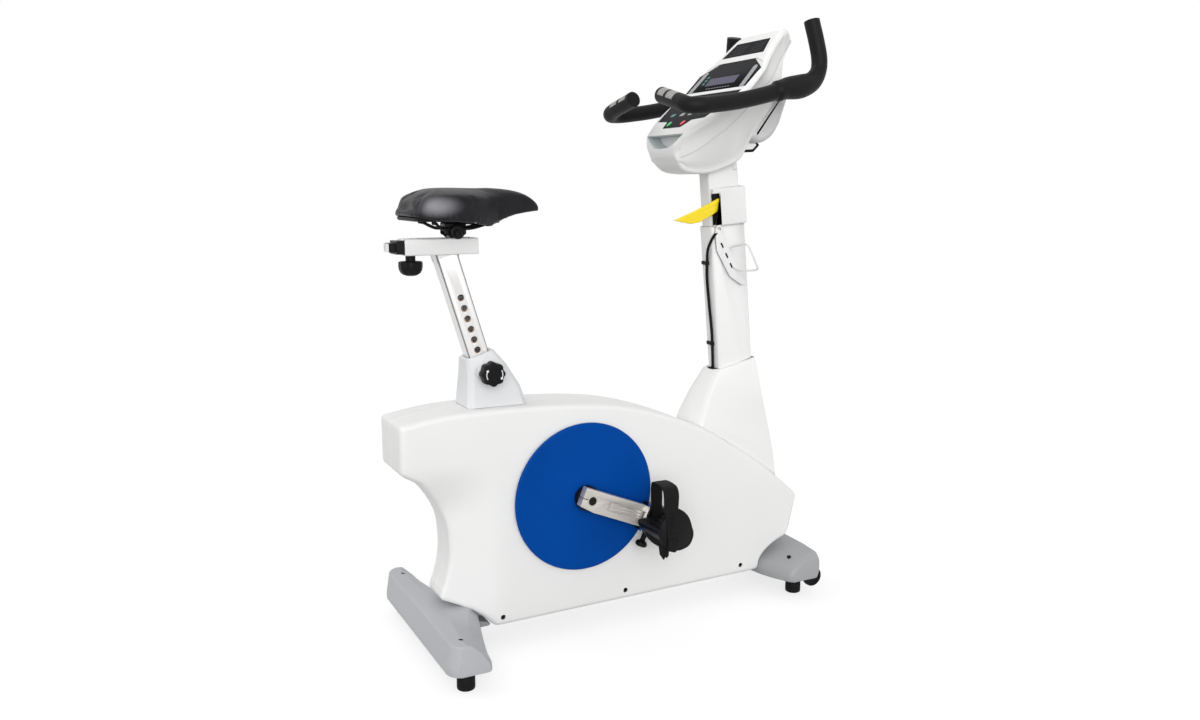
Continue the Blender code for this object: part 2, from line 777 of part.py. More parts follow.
def shrink(ring, thickness):
    # draws a ring in towards its own middle by a wall's thickness
    middle_x = sum(x for x, y, z in ring) / len(ring)
    middle_z = sum(z for x, y, z in ring) / len(ring)
    half_x = max(abs(x - middle_x) for x, y, z in ring)
    half_y = max(abs(y) for x, y, z in ring)
    share_x = 1 - thickness / half_x
    share_y = 1 - thickness / half_y
    return [(middle_x + (x - middle_x) * share_x, y * share_y, middle_z + (z - middle_z) * share_x)
            for x, y, z in ring]


def make_boots():
    envelope = guide("cut_housing_envelope", root, slab(inset(housing_outline, -gap), -0.1, 0.1))
    # Saddle boot: from a broad foot on the housing up to a collar square to the post
    across = Vector((math.cos(post_tilt), -math.sin(post_tilt)))
    along = Vector((math.sin(post_tilt), math.cos(post_tilt)))
    foot = Vector(post_foot)

    def seat_ring(rear, front, half, chamfer, low, high):
        outline = rectangle((front - rear) / 2, half, chamfer, (front + rear) / 2)
        return [(x, y, low + (high - low) * (x - rear) / (front - rear)) for x, y in outline]

    top_rear = foot - across * 0.0335
    top_front = foot + across * 0.0335
    rings = [seat_ring(-0.268, -0.118, seat_boot_half_width, 0.012, 0.535, 0.535),
             seat_ring(-0.264, -0.138, seat_boot_half_width - 0.005, 0.012, 0.590, 0.598),
             seat_ring(-0.261, -0.168, 0.040, 0.011, 0.632, 0.648),
             seat_ring(top_rear.x, top_front.x, 0.031, 0.007, top_rear.y, top_front.y)]
    boot = solid("seat_boot", root, loft(rings), pale_grey_plastic)
    hollow = guide("cut_boot_hollow", root, loft([shrink(ring, wall) for ring in rings[:3]]))
    cut(boot, hollow)
    sleeve = guide("cut_boot_sleeve", post_frame, block(
        -sleeve_outer_depth - gap, sleeve_outer_depth + gap, -sleeve_outer_width - gap,
        sleeve_outer_width + gap, -0.30, sleeve_top + gap))
    post = guide("cut_boot_post", post_frame, block(
        -post_depth / 2 - 0.001, post_depth / 2 + 0.001, -post_width / 2 - 0.001, post_width / 2 + 0.001,
        -0.05, 0.05))
    pin = guide("cut_boot_pin", post_frame, rod(0.009, "y", (0, 0, pin_level), -0.1, 0, 12))
    seat_pad = guide("boot_knob_pad", post_frame, rod(0.022, "y", (0, 0, pin_level), -lock_pad_face,
                                                      -sleeve_outer_width - 0.002, 16))
    unite(boot, seat_pad)
    cut(boot, envelope, sleeve, post, pin)

    # Mast boot: a tapered cowl that follows the housing's falling back
    def mast_ring(rear, front, half, chamfer):
        outline = rectangle(0.5, half, chamfer)
        span = front[0] - rear[0]
        ring = []
        for u, y in outline:
            share = min(1.0, max(0.0, (u + 0.5)))
            ring.append((rear[0] + span * share, y, rear[1] + (front[1] - rear[1]) * share))
        return ring

    rings = [mast_ring((0.318, 0.430), (0.572, 0.270), mast_boot_half_width, 0.02),
             mast_ring((0.338, 0.480), (0.560, 0.365), 0.058, 0.02),
             mast_ring((0.366, 0.535), (0.534, 0.490), 0.048, 0.02),
             mast_ring((0.398, 0.586), (0.510, 0.612), 0.037, 0.02)]
    cowl = solid("mast_boot", root, loft(rings), white_plastic)
    hollow = guide("cut_cowl_hollow", root, loft([shrink(ring, wall) for ring in rings[:3]]))
    cut(cowl, hollow)
    mast = guide("cut_cowl_mast", mast_frame, block(
        -lower_depth / 2 - gap, lower_depth / 2 + gap, -lower_width / 2 - gap, lower_width / 2 + gap,
        -0.30, 0.10))
    flange = guide("cut_cowl_flange", mast_frame, block(
        -lower_depth / 2 - flange_margin - 0.001, lower_depth / 2 + flange_margin + 0.001,
        -lower_width / 2 - flange_margin - 0.001, lower_width / 2 + flange_margin + 0.001,
        -0.32, lower_bottom + 0.004))
    slot = guide("cut_cowl_cable", mast_frame, block(
        -lower_depth / 2 - 0.0085, -lower_depth / 2 + 0.002, -0.006, 0.006, -0.06, 0.10))
    cut(cowl, envelope, mast, flange, slot)


def make_bearings():
    for side, sign in sides.items():
        ends = sorted((sign * (shell_half_length - bearing_inset), sign * (shell_half_length - bearing_inset
                                                                          - bearing_width)))
        profile = [(axle_radius + gap, ends[0]), (bearing_radius, ends[0]),
                   (bearing_radius, ends[1]), (axle_radius + gap, ends[1])]
        solid(side + "_crank_bearing", root, turned(profile, "y", (0, 0, crank_height), 16, closed=True),
              bright_steel, 40)


def make_crank_parts():
    neck_start = housing_half_width - 0.002
    face = disc_face
    half = [(axle_radius, 0.0), (axle_radius, neck_start), (neck_radius, neck_start),
            (neck_radius, face + gap), (boss_radius, face + gap), (boss_radius, arm_inner_face - gap),
            (axle_end_radius, arm_inner_face - gap), (axle_end_radius, arm_inner_face + arm_thickness - 0.0005)]
    profile = [(r, -y) for r, y in reversed(half[1:])] + half[1:]
    solid("crank_axle", crank, turned(profile, "y", sides=16), black_metal, 40)
    pulley_half = belt_width / 2 + 0.0015
    hub = axle_radius + gap
    y0 = belt_centre - pulley_half
    y1 = belt_centre + pulley_half
    web = 0.003
    rim = drive_pulley_radius
    profile = [(hub, y0), (0.026, y0), (0.026, belt_centre - web), (rim - 0.010, belt_centre - web),
               (rim + 0.003, y0), (rim, y0 + 0.0011), (rim, y1 - 0.0011), (rim + 0.003, y1),
               (rim - 0.010, belt_centre + web), (0.026, belt_centre + web), (0.026, y1), (hub, y1)]
    pulley = solid("drive_pulley", crank, turned(profile, "y", sides=20, closed=True), black_plastic, 40)
    for k in range(5):
        angle = 2 * math.pi * (k + 0.03) / 5
        opening = guide("cut_pulley_%d" % k, crank, rod(
            0.024, "y", (0.075 * math.cos(angle), 0, 0.075 * math.sin(angle)), y0 - 0.01, y1 + 0.01, 8))
        cut(pulley, opening)
    for side, sign in sides.items():
        back = disc_face - disc_thickness
        profile = [(neck_radius + gap, back), (disc_radius, back), (disc_radius, disc_face - 0.003),
                   (disc_radius - 0.004, disc_face), (neck_radius + gap, disc_face)]
        solid(side + "_crank_disc", crank, turned([(r, sign * y) for r, y in profile], "y",
                                                  sides=48, closed=True), blue_plastic, 30)


def make_arm(side, sign):
    frame = arm_frames[side]
    hub = arm_hub_half_width
    full = arm_half_width
    outline = [(-arm_hub_overhang, -hub), (-arm_hub_overhang + 0.012, -hub - 0.002), (0.012, -full),
               (arm_end, -full), (arm_end, full), (-arm_hub_overhang + 0.012, full), (-arm_hub_overhang, hub)]
    inner = sign * arm_inner_face
    outer = sign * (arm_inner_face + arm_thickness)
    arm = solid(side + "_crank_arm", frame, slab(outline, min(inner, outer), max(inner, outer)), milled_alloy)
    soften(arm, 0.0012, 1)
    bore = guide("cut_" + side + "_arm_bore", frame, rod(axle_end_radius + gap, "y", (0, 0, 0), -0.2, 0.2, 24))
    slit = guide("cut_" + side + "_arm_slit", frame, block(
        -arm_hub_overhang - 0.01, 0, -0.2, 0.2, -arm_slit / 2, arm_slit / 2))
    deep = outer - sign * arm_groove_depth
    clear = outer + sign * 0.003
    groove = guide("cut_" + side + "_arm_groove", frame, loft([
        [(arm_groove_start, outer - sign * 0.0005, z), (arm_groove_start, clear, z), (arm_end + 0.01, clear, z),
         (arm_end + 0.01, deep, z)] for z in (-arm_groove_half_width, arm_groove_half_width)]))
    cut(arm, bore, slit, groove)
    for k in range(arm_hole_count):
        place = pin_place - k * arm_hole_pitch
        hole = guide("cut_%s_arm_hole_%d" % (side, k), frame, rod(
            pin_radius + gap, "z", (place, sign * (arm_inner_face + pin_depth), 0), -full - 0.01, -full + 0.008, 10))
        cut(arm, hole)


def make_carriage(side, sign):
    frame = arm_frames[side]
    body = pivot(side + "_carriage_slide", frame)
    start = crank_throw - carriage_length / 2
    end = crank_throw + carriage_length / 2 + 0.003
    back = arm_inner_face - gap - carriage_lip
    ys = sorted((sign * back, sign * carriage_outer))
    carriage = solid(side + "_pedal_carriage", body, block(
        start, end, *ys, -carriage_half_height, carriage_half_height), black_metal)
    soften(carriage, 0.003, 1)
    ys = sorted((sign * (arm_inner_face - gap), sign * (arm_inner_face + arm_thickness + gap)))
    channel = guide("cut_" + side + "_carriage_channel", body, block(
        start - 0.01, end + 0.01, *ys, -arm_half_width - gap, arm_half_width + gap))
    reach = arm_half_width - carriage_lip_reach
    ys = sorted((sign * (back - 0.01), sign * arm_inner_face))
    mouth = guide("cut_" + side + "_carriage_back", body, block(start - 0.01, end + 0.01, *ys, -reach, reach))
    hole = guide("cut_" + side + "_carriage_pin", body, rod(
        pin_radius + gap, "z", (pin_place, sign * (arm_inner_face + pin_depth), 0),
        -carriage_half_height - 0.01, 0, 12))
    cut(carriage, channel, mouth, hole)
    ends = sorted((sign * (carriage_outer - 0.004), sign * (carriage_outer + pedal_offset + pedal_width - 0.003)))
    spindle = guide(side + "_spindle", body, rod(spindle_radius, "y", (crank_throw, 0, 0), *ends, 16))
    unite(carriage, spindle)
    # The sprung lock pin hangs below the carriage
    pin_body = pivot(side + "_lock_pin_pull", body, (pin_place, sign * (arm_inner_face + pin_depth), 0))
    top = -arm_half_width - gap
    face = -carriage_half_height - gap
    profile = [(pull_knob_radius * 0.55, face - 0.030), (pull_knob_radius, face - 0.027),
               (pull_knob_radius, face - 0.016), (pull_knob_radius * 0.7, face - 0.010),
               (0.0065, face - 0.009), (0.0065, face), (pin_radius, face), (pin_radius, top)]
    solid(side + "_lock_pin", pin_body, turned(profile, "z", sides=14), black_plastic, 40)
    make_pedal(side, sign, body)


def make_pedal(side, sign, carriage_body):
    # The pedal hangs level: its frame turns back by the arm's angle
    turn = -crank_angle if side == "right" else -crank_angle - math.pi
    start = carriage_outer + pedal_offset
    body = pivot(side + "_pedal_spin", carriage_body, (crank_throw, sign * start, 0), turn)
    half = pedal_length / 2
    outline = [(-half, pedal_top - 0.004), (-half, -0.008), (-half * 0.80, -pedal_belly * 0.55),
               (-half * 0.40, -pedal_belly * 0.92), (half * 0.10, -pedal_belly), (half * 0.55, -pedal_belly * 0.80),
               (half * 0.88, -pedal_belly * 0.42), (half, -0.006), (half, pedal_top - 0.004),
               (half * 0.92, pedal_top), (-half * 0.92, pedal_top)]
    ys = sorted((0.0, sign * pedal_width))
    pedal = solid(side + "_pedal", body, slab(outline, *ys), black_plastic)
    soften(pedal, 0.003, 1)
    bore = guide("cut_" + side + "_pedal_bore", body, rod(
        spindle_radius + gap, "y", (0, 0, 0), -0.2, 0.2, 16))
    ys = sorted((sign * 0.012, sign * (pedal_width - 0.012)))
    window = guide("cut_" + side + "_pedal_well", body, block(
        -half * 0.72, half * 0.72, *ys, -pedal_belly - 0.01, -0.016))
    cut(pedal, bore, window)
    for k in range(5):
        place = -half * 0.72 + k * half * 0.36
        low, high = sorted((sign * 0.008, sign * (pedal_width - 0.008)))
        groove = guide("cut_%s_tread_%d" % (side, k), body, block(
            place - 0.0025, place + 0.0025, low, high, pedal_top - 0.003, pedal_top + 0.01))
        cut(pedal, groove)
    # Strap: an arch over the platform, down its outer cheek and past the buckle
    near = sign * -gap
    far = sign * (pedal_width + gap)
    arch = [(near, spindle_radius + 0.0015), (near, pedal_top + 0.030)]
    arch += [(sign * (pedal_width / 2 - (pedal_width / 2 - 0.004) * math.cos(a)),
              pedal_top + 0.030 + (strap_rise - pedal_top - 0.030) * math.sin(a))
             for a in [math.radians(20 * k) for k in range(1, 9)]]
    arch += [(far, pedal_top + 0.030), (far, -strap_tail)]
    outer = []
    for k, (y, z) in enumerate(arch):
        ahead = Vector(arch[min(k + 1, len(arch) - 1)]) - Vector(arch[max(k - 1, 0)])
        ahead.normalize()
        outer.append((y - sign * ahead.y * strap_thickness, z + sign * ahead.x * strap_thickness * sign * sign))
    strap_path = arch + outer[::-1]
    half_strap = strap_width / 2
    strap = solid(side + "_pedal_strap", body, loft([
        [(x, y, z) for y, z in strap_path] for x in (-half_strap, half_strap)]), black_rubber, 40)
    return strap


def make_drive():
    y0 = belt_centre - belt_width / 2
    y1 = belt_centre + belt_width / 2
    drive_run = (drive_pulley_radius + gap) * belt_facet
    small_run = (small_pulley_radius + gap) * belt_facet
    idler_run = (idler_radius + gap) * belt_facet
    inner = [(0.0, crank_height, drive_run, 1), (*flywheel_place, small_run, 1),
             (*idler_place, idler_run + belt_thickness, -1)]
    outer = [(0.0, crank_height, drive_run + belt_thickness, 1),
             (*flywheel_place, small_run + belt_thickness, 1), (*idler_place, idler_run, -1)]
    steps = [24, 10, 4]
    inner_line = belt_outline(inner, steps)
    outer_line = belt_outline(outer, steps)
    rings = [[(x, y, z) for x, z in line] for line, y in
             ((inner_line, y0), (outer_line, y0), (outer_line, y1), (inner_line, y1))]
    solid("drive_belt", root, loft(rings, closed=True), black_rubber, 40)
    hub = shaft_radius + gap
    fly0 = flywheel_centre_y - flywheel_thickness / 2
    fly1 = flywheel_centre_y + flywheel_thickness / 2
    pulley_end = belt_centre - belt_width / 2 - 0.0015
    rim = small_pulley_radius
    profile = [(hub, fly1), (0.022, fly1), (0.022, fly1 - 0.007), (flywheel_radius - 0.020, fly1 - 0.007),
               (flywheel_radius - 0.020, fly1), (flywheel_radius, fly1), (flywheel_radius, fly0),
               (rim + 0.003, fly0), (rim, belt_centre + belt_width / 2 + 0.0004), (rim, pulley_end + 0.0011),
               (rim + 0.003, pulley_end), (hub, pulley_end)]
    solid("flywheel", flywheel_body, turned(profile, "y", sides=24, closed=True), cast_steel, 40)
    rim = idler_radius
    profile = [(hub, pulley_end), (rim + 0.003, pulley_end), (rim, pulley_end + 0.0011),
               (rim, belt_centre + belt_width / 2 + 0.0004), (rim + 0.003, belt_centre + belt_width / 2 + 0.0015),
               (0.013, belt_centre + belt_width / 2 + 0.0015),
               (0.013, belt_centre + belt_width / 2 + 0.006), (hub, belt_centre + belt_width / 2 + 0.006)]
    solid("idler_pulley", idler_body, turned(profile, "y", sides=16, closed=True), black_plastic, 40)
    # Brake magnet: a horseshoe yoke that straddles the flywheel's rim from below
    x, z = flywheel_place
    low = rail_top + gap
    yoke = solid("brake_magnet", root, block(x - 0.030, x + 0.030, fly0 - 0.014, fly1 + 0.0035, low,
                                             z - flywheel_radius + 0.014), cast_steel)
    slot = guide("cut_brake_slot", root, rod(flywheel_radius + 0.003, "y", (x, 0, z), fly0 - 0.003,
                                             fly1 + 0.002, 40))
    cut(yoke, slot)


def make_seat_parts():
    # Bush between the frame's sleeve and the post
    outer = rectangle(sleeve_inner_depth - gap, sleeve_inner_width - gap)
    inner = rectangle(post_depth / 2 + gap, post_width / 2 + gap)
    bush = solid("seat_post_bush", post_frame, box_tube(outer, inner, sleeve_top - 0.110, sleeve_top), black_plastic)
    hole = guide("cut_bush_pin", post_frame, rod(post_hole_radius + gap, "y", (0, 0, pin_level), -0.1, 0, 16))
    cut(bush, hole)
    outer = rectangle(post_depth / 2, post_width / 2, post_chamfer)
    inner = rectangle(post_depth / 2 - post_wall, post_width / 2 - post_wall, post_chamfer * 0.6)
    post = solid("seat_post", seat, box_tube(outer, inner, -post_below, post_above), bright_steel)
    for k in range(-post_holes_below, post_holes_above + 1):
        hole = guide("cut_post_hole_%d" % k, seat, rod(
            post_hole_radius, "y", (0, 0, pin_level + k * post_hole_pitch), -0.1, 0, 10))
        cut(post, hole)
    # The post's head: cut level under the slider box
    head = guide("cut_post_head", root, block(slider_rear - 0.05, slider_front + 0.1, -0.1, 0.1,
                                              slider_bottom - gap, slider_bottom + 0.2))
    cut(post, head)
    make_lock_knob()
    make_slider()


def make_lock_knob():
    # The plunger slides in the sleeve; the lobed knob turns on its outer end
    body = pivot("seat_pin_pull", post_frame, (0, 0, pin_level))
    tip = -post_width / 2 - gap
    seat_face = -lock_pad_face - gap
    profile = [(0.0055, tip), (0.0055, seat_face), (0.0085, seat_face), (0.0085, seat_face - 0.004),
               (0.006, seat_face - 0.004), (0.006, seat_face - 0.020)]
    solid("seat_lock_pin", body, turned(profile, "y", sides=16), bright_steel, 40)
    turn_body = pivot("seat_knob_turn", body)
    back = seat_face - 0.005
    front = back - lock_knob_length
    rings = []
    for share, height in ((0.62, back), (0.80, back - 0.004), (1.0, back - 0.008), (1.0, front + 0.004),
                          (0.86, front)):
        ring = []
        for k in range(32):
            angle = 2 * math.pi * k / 32
            radius = lock_knob_radius * share * (1 + 0.055 * math.cos(8 * angle))
            ring.append((radius * math.cos(angle), height, radius * math.sin(angle)))
        rings.append(ring)
    knob = solid("seat_lock_knob", turn_body, loft(rings), black_plastic, 50)
    bore = guide("cut_knob_bore", turn_body, rod(0.006 + gap, "y", (0, 0, 0), seat_face - 0.020 - gap, 0, 16))
    cut(knob, bore)


def make_slider():
    top = slider_bottom + slider_height
    half = slider_half_width
    box = solid("slider_housing", seat_slider_frame, block(slider_rear, slider_front, -half, half,
                                                           slider_bottom, top), white_paint)
    soften(box, 0.002, 1)
    bore = guide("cut_slider_bore", seat_slider_frame, block(
        slider_rear - 0.01, slider_front - wall, -half + wall, half - wall, slider_bottom + wall, top - wall))
    slot = guide("cut_slider_slot", seat_slider_frame, block(
        slider_slot[0], slider_slot[1], -slider_slot_half_width, slider_slot_half_width, top - 0.01, top + 0.01))
    knob_hole = guide("cut_slider_knob", seat_slider_frame, rod(
        0.0045, "z", (slider_knob_x, 0, 0), slider_bottom - 0.01, slider_bottom + 0.01, 12))
    cut(box, bore, slot, knob_hole)
    bar_half = half - wall - gap
    bar_low = slider_bottom + wall + gap
    bar_high = top - wall - gap
    carriage = solid("seat_carriage", seat_slide, block(carriage_bar_rear, carriage_bar_front, -bar_half,
                                                        bar_half, bar_low, bar_high), black_metal)
    soften(carriage, 0.002, 1)
    stem = guide("carriage_stem", seat_slide, block(clamp_x - 0.012, clamp_x + 0.012, -0.0118, 0.0118,
                                                    bar_high - 0.004, clamp_z))
    boss = guide("carriage_boss", seat_slide, rod(clamp_boss_radius, "y", (clamp_x, 0, clamp_z),
                                                  -0.0118, 0.0118, 24))
    unite(carriage, stem, boss)
    knob_body = pivot("slider_knob_turn", seat_slider_frame, (slider_knob_x, 0, slider_bottom))
    radius = slider_knob_radius
    profile = [(radius * 0.35, -0.044), (radius * 0.72, -0.040), (radius * 0.95, -0.030), (radius, -0.020),
               (radius * 0.9, -0.0135), (0.0105, -0.0125), (0.0105, -gap), (0.004, -gap),
               (0.004, wall - gap)]
    solid("slider_knob", knob_body, turned(profile, "z", sides=18), black_plastic, 40)
    # Saddle clamp: two cheeks and a bridge round the carriage's boss
    inner = 0.0118 + gap
    outer = inner + 0.008
    clamp = solid("saddle_clamp", saddle_tilt, block(-0.024, 0.024, -outer, outer, -0.009, 0.019), black_metal)
    soften(clamp, 0.003, 1)
    dome = [(-x, z) for x, z in circle(clamp_boss_radius + 0.0026, 24)[:13]]
    room = guide("cut_clamp_room", saddle_tilt, slab(
        [(-0.03, -0.03), (-0.03, 0.0)] + dome + [(0.03, 0.0), (0.03, -0.03)], -inner, inner))
    cut(clamp, room)
    make_saddle(outer)


def saddle_station(row):
    # one cross section: crown, rolled side, skirt and the flat floor of the pocket
    x, half, crown, skirt = row
    crown -= clamp_z
    skirt -= clamp_z
    floor = max(saddle_floor - clamp_z, skirt + 0.001)
    side_top = crown - 0.30 * (crown - skirt)
    ring = []
    for k in range(13):
        angle = math.radians(180 - 15 * k)
        y = half * math.cos(angle)
        lift = abs(math.sin(angle)) ** 0.75
        ring.append((y, side_top + (crown - side_top) * lift))
    rim = max(0.004, half - saddle_shell)
    lower = skirt + 0.35 * (side_top - skirt)
    ring += [(half * 1.0, lower), (half * 0.965, skirt + 0.003), (rim + 0.003, skirt), (rim, floor),
             (-rim, floor), (-rim - 0.003, skirt), (-half * 0.965, skirt + 0.003), (-half * 1.0, lower)]
    return [(x - clamp_x, y, z) for y, z in ring]


def make_saddle(clamp_outer):
    rows = smooth(saddle_stations, 2) + [saddle_stations[-1]]
    solid("saddle_cushion", saddle_tilt, loft([saddle_station(row) for row in rows]), grey_vinyl, 60)
    base_rows = [row for row in saddle_stations[1:-2]]
    upper_z = saddle_floor - gap - clamp_z
    rings = []
    for z in (upper_z - saddle_base_thickness, upper_z):
        ring = [(row[0] - clamp_x, row[1] - saddle_shell - 0.004, z) for row in base_rows]
        ring += [(x, -y, z) for x, y, z in ring[::-1]]
        rings.append(ring)
    base = solid("saddle_base", saddle_tilt, loft(rings), black_plastic)
    soften(base, 0.0015, 1)
    # Wire rails: one rod looped under the nose
    y = clamp_outer + gap + rail_wire_radius
    lev = rail_wire_level - clamp_z
    under = upper_z - saddle_base_thickness - gap - rail_wire_radius
    half_path = [(-0.062, y + 0.026, under), (-0.052, y + 0.020, under - 0.002), (-0.044, y + 0.008, lev + 0.006),
                 (-0.033, y + 0.002, lev + 0.001), (-0.022, y, lev), (0.026, y, lev), (0.052, y - 0.004, lev + 0.004),
                 (0.080, y - 0.010, under - 0.002), (0.098, y - 0.016, under), (0.104, 0.0, under)]
    full = half_path + [(x, -v, z) for x, v, z in half_path[-2::-1]]
    path = smooth(full, 2) + [full[-1]]
    wire("saddle_rails", saddle_tilt, path, rail_wire_radius, black_metal, 1)


def make_mast():
    outer = rectangle(lower_depth / 2, lower_width / 2, 0.004)
    inner = rectangle(lower_depth / 2 - wall, lower_width / 2 - wall, 0.003)
    foot = lower_bottom - mast_flange
    lower = solid("lower_mast", mast_frame, loft([level(outer, foot), level(outer, lower_top)]), white_paint)
    flange = guide("mast_foot_flange", mast_frame, loft([
        level(rectangle(lower_depth / 2 + flange_margin, lower_width / 2 + flange_margin), z)
        for z in (foot, lower_bottom)]))
    bore = guide("cut_lower_mast", mast_frame, loft([level(inner, foot - 0.01), level(inner, lower_top + 0.01)]))
    port = guide("cut_mast_cable_port", mast_frame, rod(
        0.005, "y", (-0.033, 0, frame_along(mast_tilt, mast_foot, 0.932)), -0.1, 0, 12))
    unite(lower, flange)
    cut(lower, bore, port)
    outer = rectangle(upper_depth / 2, upper_width / 2, 0.004)
    inner = rectangle(upper_depth / 2 - post_wall, upper_width / 2 - post_wall, 0.003)
    mast = solid("upper_mast", upper, box_tube(outer, inner, upper_bottom, upper_top), white_paint)
    neck = guide("mast_neck", console, slab(neck_outline, -neck_half_width, neck_half_width))
    seat_cut = guide("cut_neck_seat", console, rod(cross_tube_radius + gap, "y", (cross_tube[0], 0, cross_tube[1]),
                                                   -0.1, 0.1, 20))
    neck_bore = guide("cut_neck_bore", console, slab(inset(neck_outline, tube_wall),
                                                     tube_wall - neck_half_width, neck_half_width - tube_wall))
    unite(mast, neck)
    cut(mast, neck_bore, seat_cut)
    # Collar: a clamp box round the joint, open on both cheeks for the lever
    front = lower_depth / 2
    start = lower_top + gap
    collar = solid("mast_collar", mast_frame, block(-front, front, -collar_half_width, collar_half_width,
                                                    start, collar_top), white_paint)
    soften(collar, 0.003, 1)
    tube = guide("cut_collar_tube", mast_frame, block(
        -upper_depth / 2 - gap, upper_depth / 2 + gap, -upper_width / 2 - gap, upper_width / 2 + gap,
        start - 0.01, collar_top + 0.01))
    mouth = guide("cut_collar_mouth", mast_frame, block(
        -front - 0.01, collar_open, -0.1, 0.1, start + 0.004, collar_top - collar_lip))
    reach = collar_half_width - collar_cheek
    pocket = guide("cut_collar_pocket", mast_frame, block(
        -front - 0.01, front - 0.012, -reach, -upper_width / 2, start + 0.004, collar_top - collar_lip))
    cut(collar, tube, mouth, pocket)
    pin = guide("collar_lever_pin", mast_frame, rod(
        lever_pin_radius, "y", (lever_pin_t, 0, lever_pin_s), -collar_half_width + 0.001,
        -upper_width / 2 - 0.0012, 16))
    unite(collar, pin)
    make_lever()


def make_lever():
    body = pivot("lever_turn", mast_frame, (lever_pin_t, 0, lever_pin_s), -mast_tilt)
    y0 = -upper_width / 2 - 0.0016 - lever_thickness
    outline = [(0.010, 0.010), (0.011, -0.006), (-0.004, -0.013), (-0.040, -0.033), (-0.068, -0.046),
               (-0.092, -0.050), (-0.116, -0.046), (-0.140, -0.041), (-0.112, -0.030), (-0.080, -0.018),
               (-0.048, -0.004), (-0.018, 0.010)]
    lever = solid("mast_lever", body, slab(outline, y0, y0 + lever_thickness), yellow_plastic)
    soften(lever, 0.0015, 1)
    bore = guide("cut_lever_bore", body, rod(lever_pin_radius + gap, "y", (0, 0, 0), -0.1, 0.1, 16))
    cut(lever, bore)


# Console outlines in the midplane, clockwise from the chin
neck_outline = [(0.436, 1.078), (0.470, 1.082), (0.520, 1.128), (0.572, 1.222), (0.556, 1.254),
                (0.530, 1.262), (0.512, 1.240), (0.488, 1.170), (0.462, 1.128), (0.432, 1.118)]
face_lower_middle = (face_lower[0] + (face_bend[0] - face_lower[0]) * 0.42,
                     face_lower[1] + (face_bend[1] - face_lower[1]) * 0.42)
face_upper_middle = [(face_bend[0] + (face_upper[0] - face_bend[0]) * share,
                      face_bend[1] + (face_upper[1] - face_bend[1]) * share) for share in (0.36, 0.64)]
seam_line = [(0.558, 1.374), (0.478, 1.284), (0.417, 1.220), (0.366, 1.178), (0.303, 1.128), (0.262, 1.104)]
face_outline = [(0.244, 1.104), (0.243, 1.130), (0.253, 1.157), face_lower, face_lower_middle, face_bend,
                *face_upper_middle, face_upper, (0.528, 1.406), (0.550, 1.408), (0.562, 1.386), *seam_line]
back_outline = [(0.2535, 1.0975), (0.258, 1.080), (0.284, 1.069), (0.330, 1.067), (0.372, 1.073),
                (0.430, 1.098), (0.455, 1.132), (0.486, 1.195), (0.512, 1.262), (0.541, 1.334),
                (0.5290, 1.3408)]
face_widths = [(-0.09, 0.070), (-0.03, 0.090), (0.0, 0.104), (0.06, 0.140), (0.13, 0.152), (0.21, 0.146),
               (0.26, 0.118), (0.34, 0.096)]
cheek_widths = [(-0.09, 0.068), (-0.03, 0.080), (0.03, 0.094), (0.07, 0.108), (0.22, 0.107), (0.30, 0.079),
                (0.35, 0.070)]
cheek_depth = 0.070


def width_at(keys, along):
    # the half width between two keys
    for (a, wa), (b, wb) in zip(keys, keys[1:]):
        if along <= b:
            return wa + (wb - wa) * max(0.0, (along - a) / (b - a))
    return keys[-1][1]


def console_half_width(x, z):
    # the face is widest at the foot of the screen; below it the cheeks draw in to the seam
    along = (x - face_lower[0]) * 0.69 + (z - face_lower[1]) * 0.72
    depth = (x - face_lower[0]) * 0.72 - (z - face_lower[1]) * 0.69
    face = width_at(face_widths, along)
    cheek = width_at(cheek_widths, along)
    return cheek + (face - cheek) * min(1.0, max(0.0, 1 - depth / cheek_depth))


def cheek_faces(first, seam_start, count, flip):
    # a side closed by triangles between the outer line and the seam
    outer = list(range(seam_start))
    inner = list(range(count - 1, seam_start - 1, -1))
    i = 0
    j = 0
    faces = []
    while i < len(outer) - 1 or j < len(inner) - 1:
        if j == len(inner) - 1 or (i + 1) * (len(inner) - 1) <= (j + 1) * (len(outer) - 1) and i < len(outer) - 1:
            faces.append((first + outer[i], first + outer[i + 1], first + inner[j]))
            i += 1
        else:
            faces.append((first + outer[i], first + inner[j + 1], first + inner[j]))
            j += 1
    return [face[::-1] for face in faces] if flip else faces


def console_shape(outline, seam_start, edge, skin=0.0, push=0.0):
    # rounded towards both cheeks, while the seam stays whole; skin and push make the room inside
    count = len(outline)
    area = sum(outline[k - 1][0] * outline[k][1] - outline[k][0] * outline[k - 1][1] for k in range(count))
    rings = []
    for sign, turns in ((-1, (90, 45, 0)), (1, (0, 45, 90))):
        for turn in turns:
            turn = math.radians(turn)
            depth = skin + (edge - skin) * (1 - math.cos(turn))
            drawn = inset(outline, depth)
            for k in range(seam_start, count):
                ahead = Vector(outline[min(k + 1, count - 1)]) - Vector(outline[max(k - 1, seam_start)])
                normal = Vector((ahead.y, -ahead.x)).normalized() * math.copysign(1, area)
                drawn[k] = tuple(Vector(drawn[k]) + normal * (depth + push))
            ring = []
            for (x, z), (wide_x, wide_z) in zip(drawn, outline):
                half = console_half_width(wide_x, wide_z) - skin - (edge - skin) * (1 - math.sin(turn))
                ring.append((x, sign * half, z))
            rings.append(ring)
    vertices, faces = loft(rings)
    last = (len(rings) - 1) * count
    return vertices, (faces[:-2] + cheek_faces(0, seam_start, count, False)
                      + cheek_faces(last, seam_start, count, True))


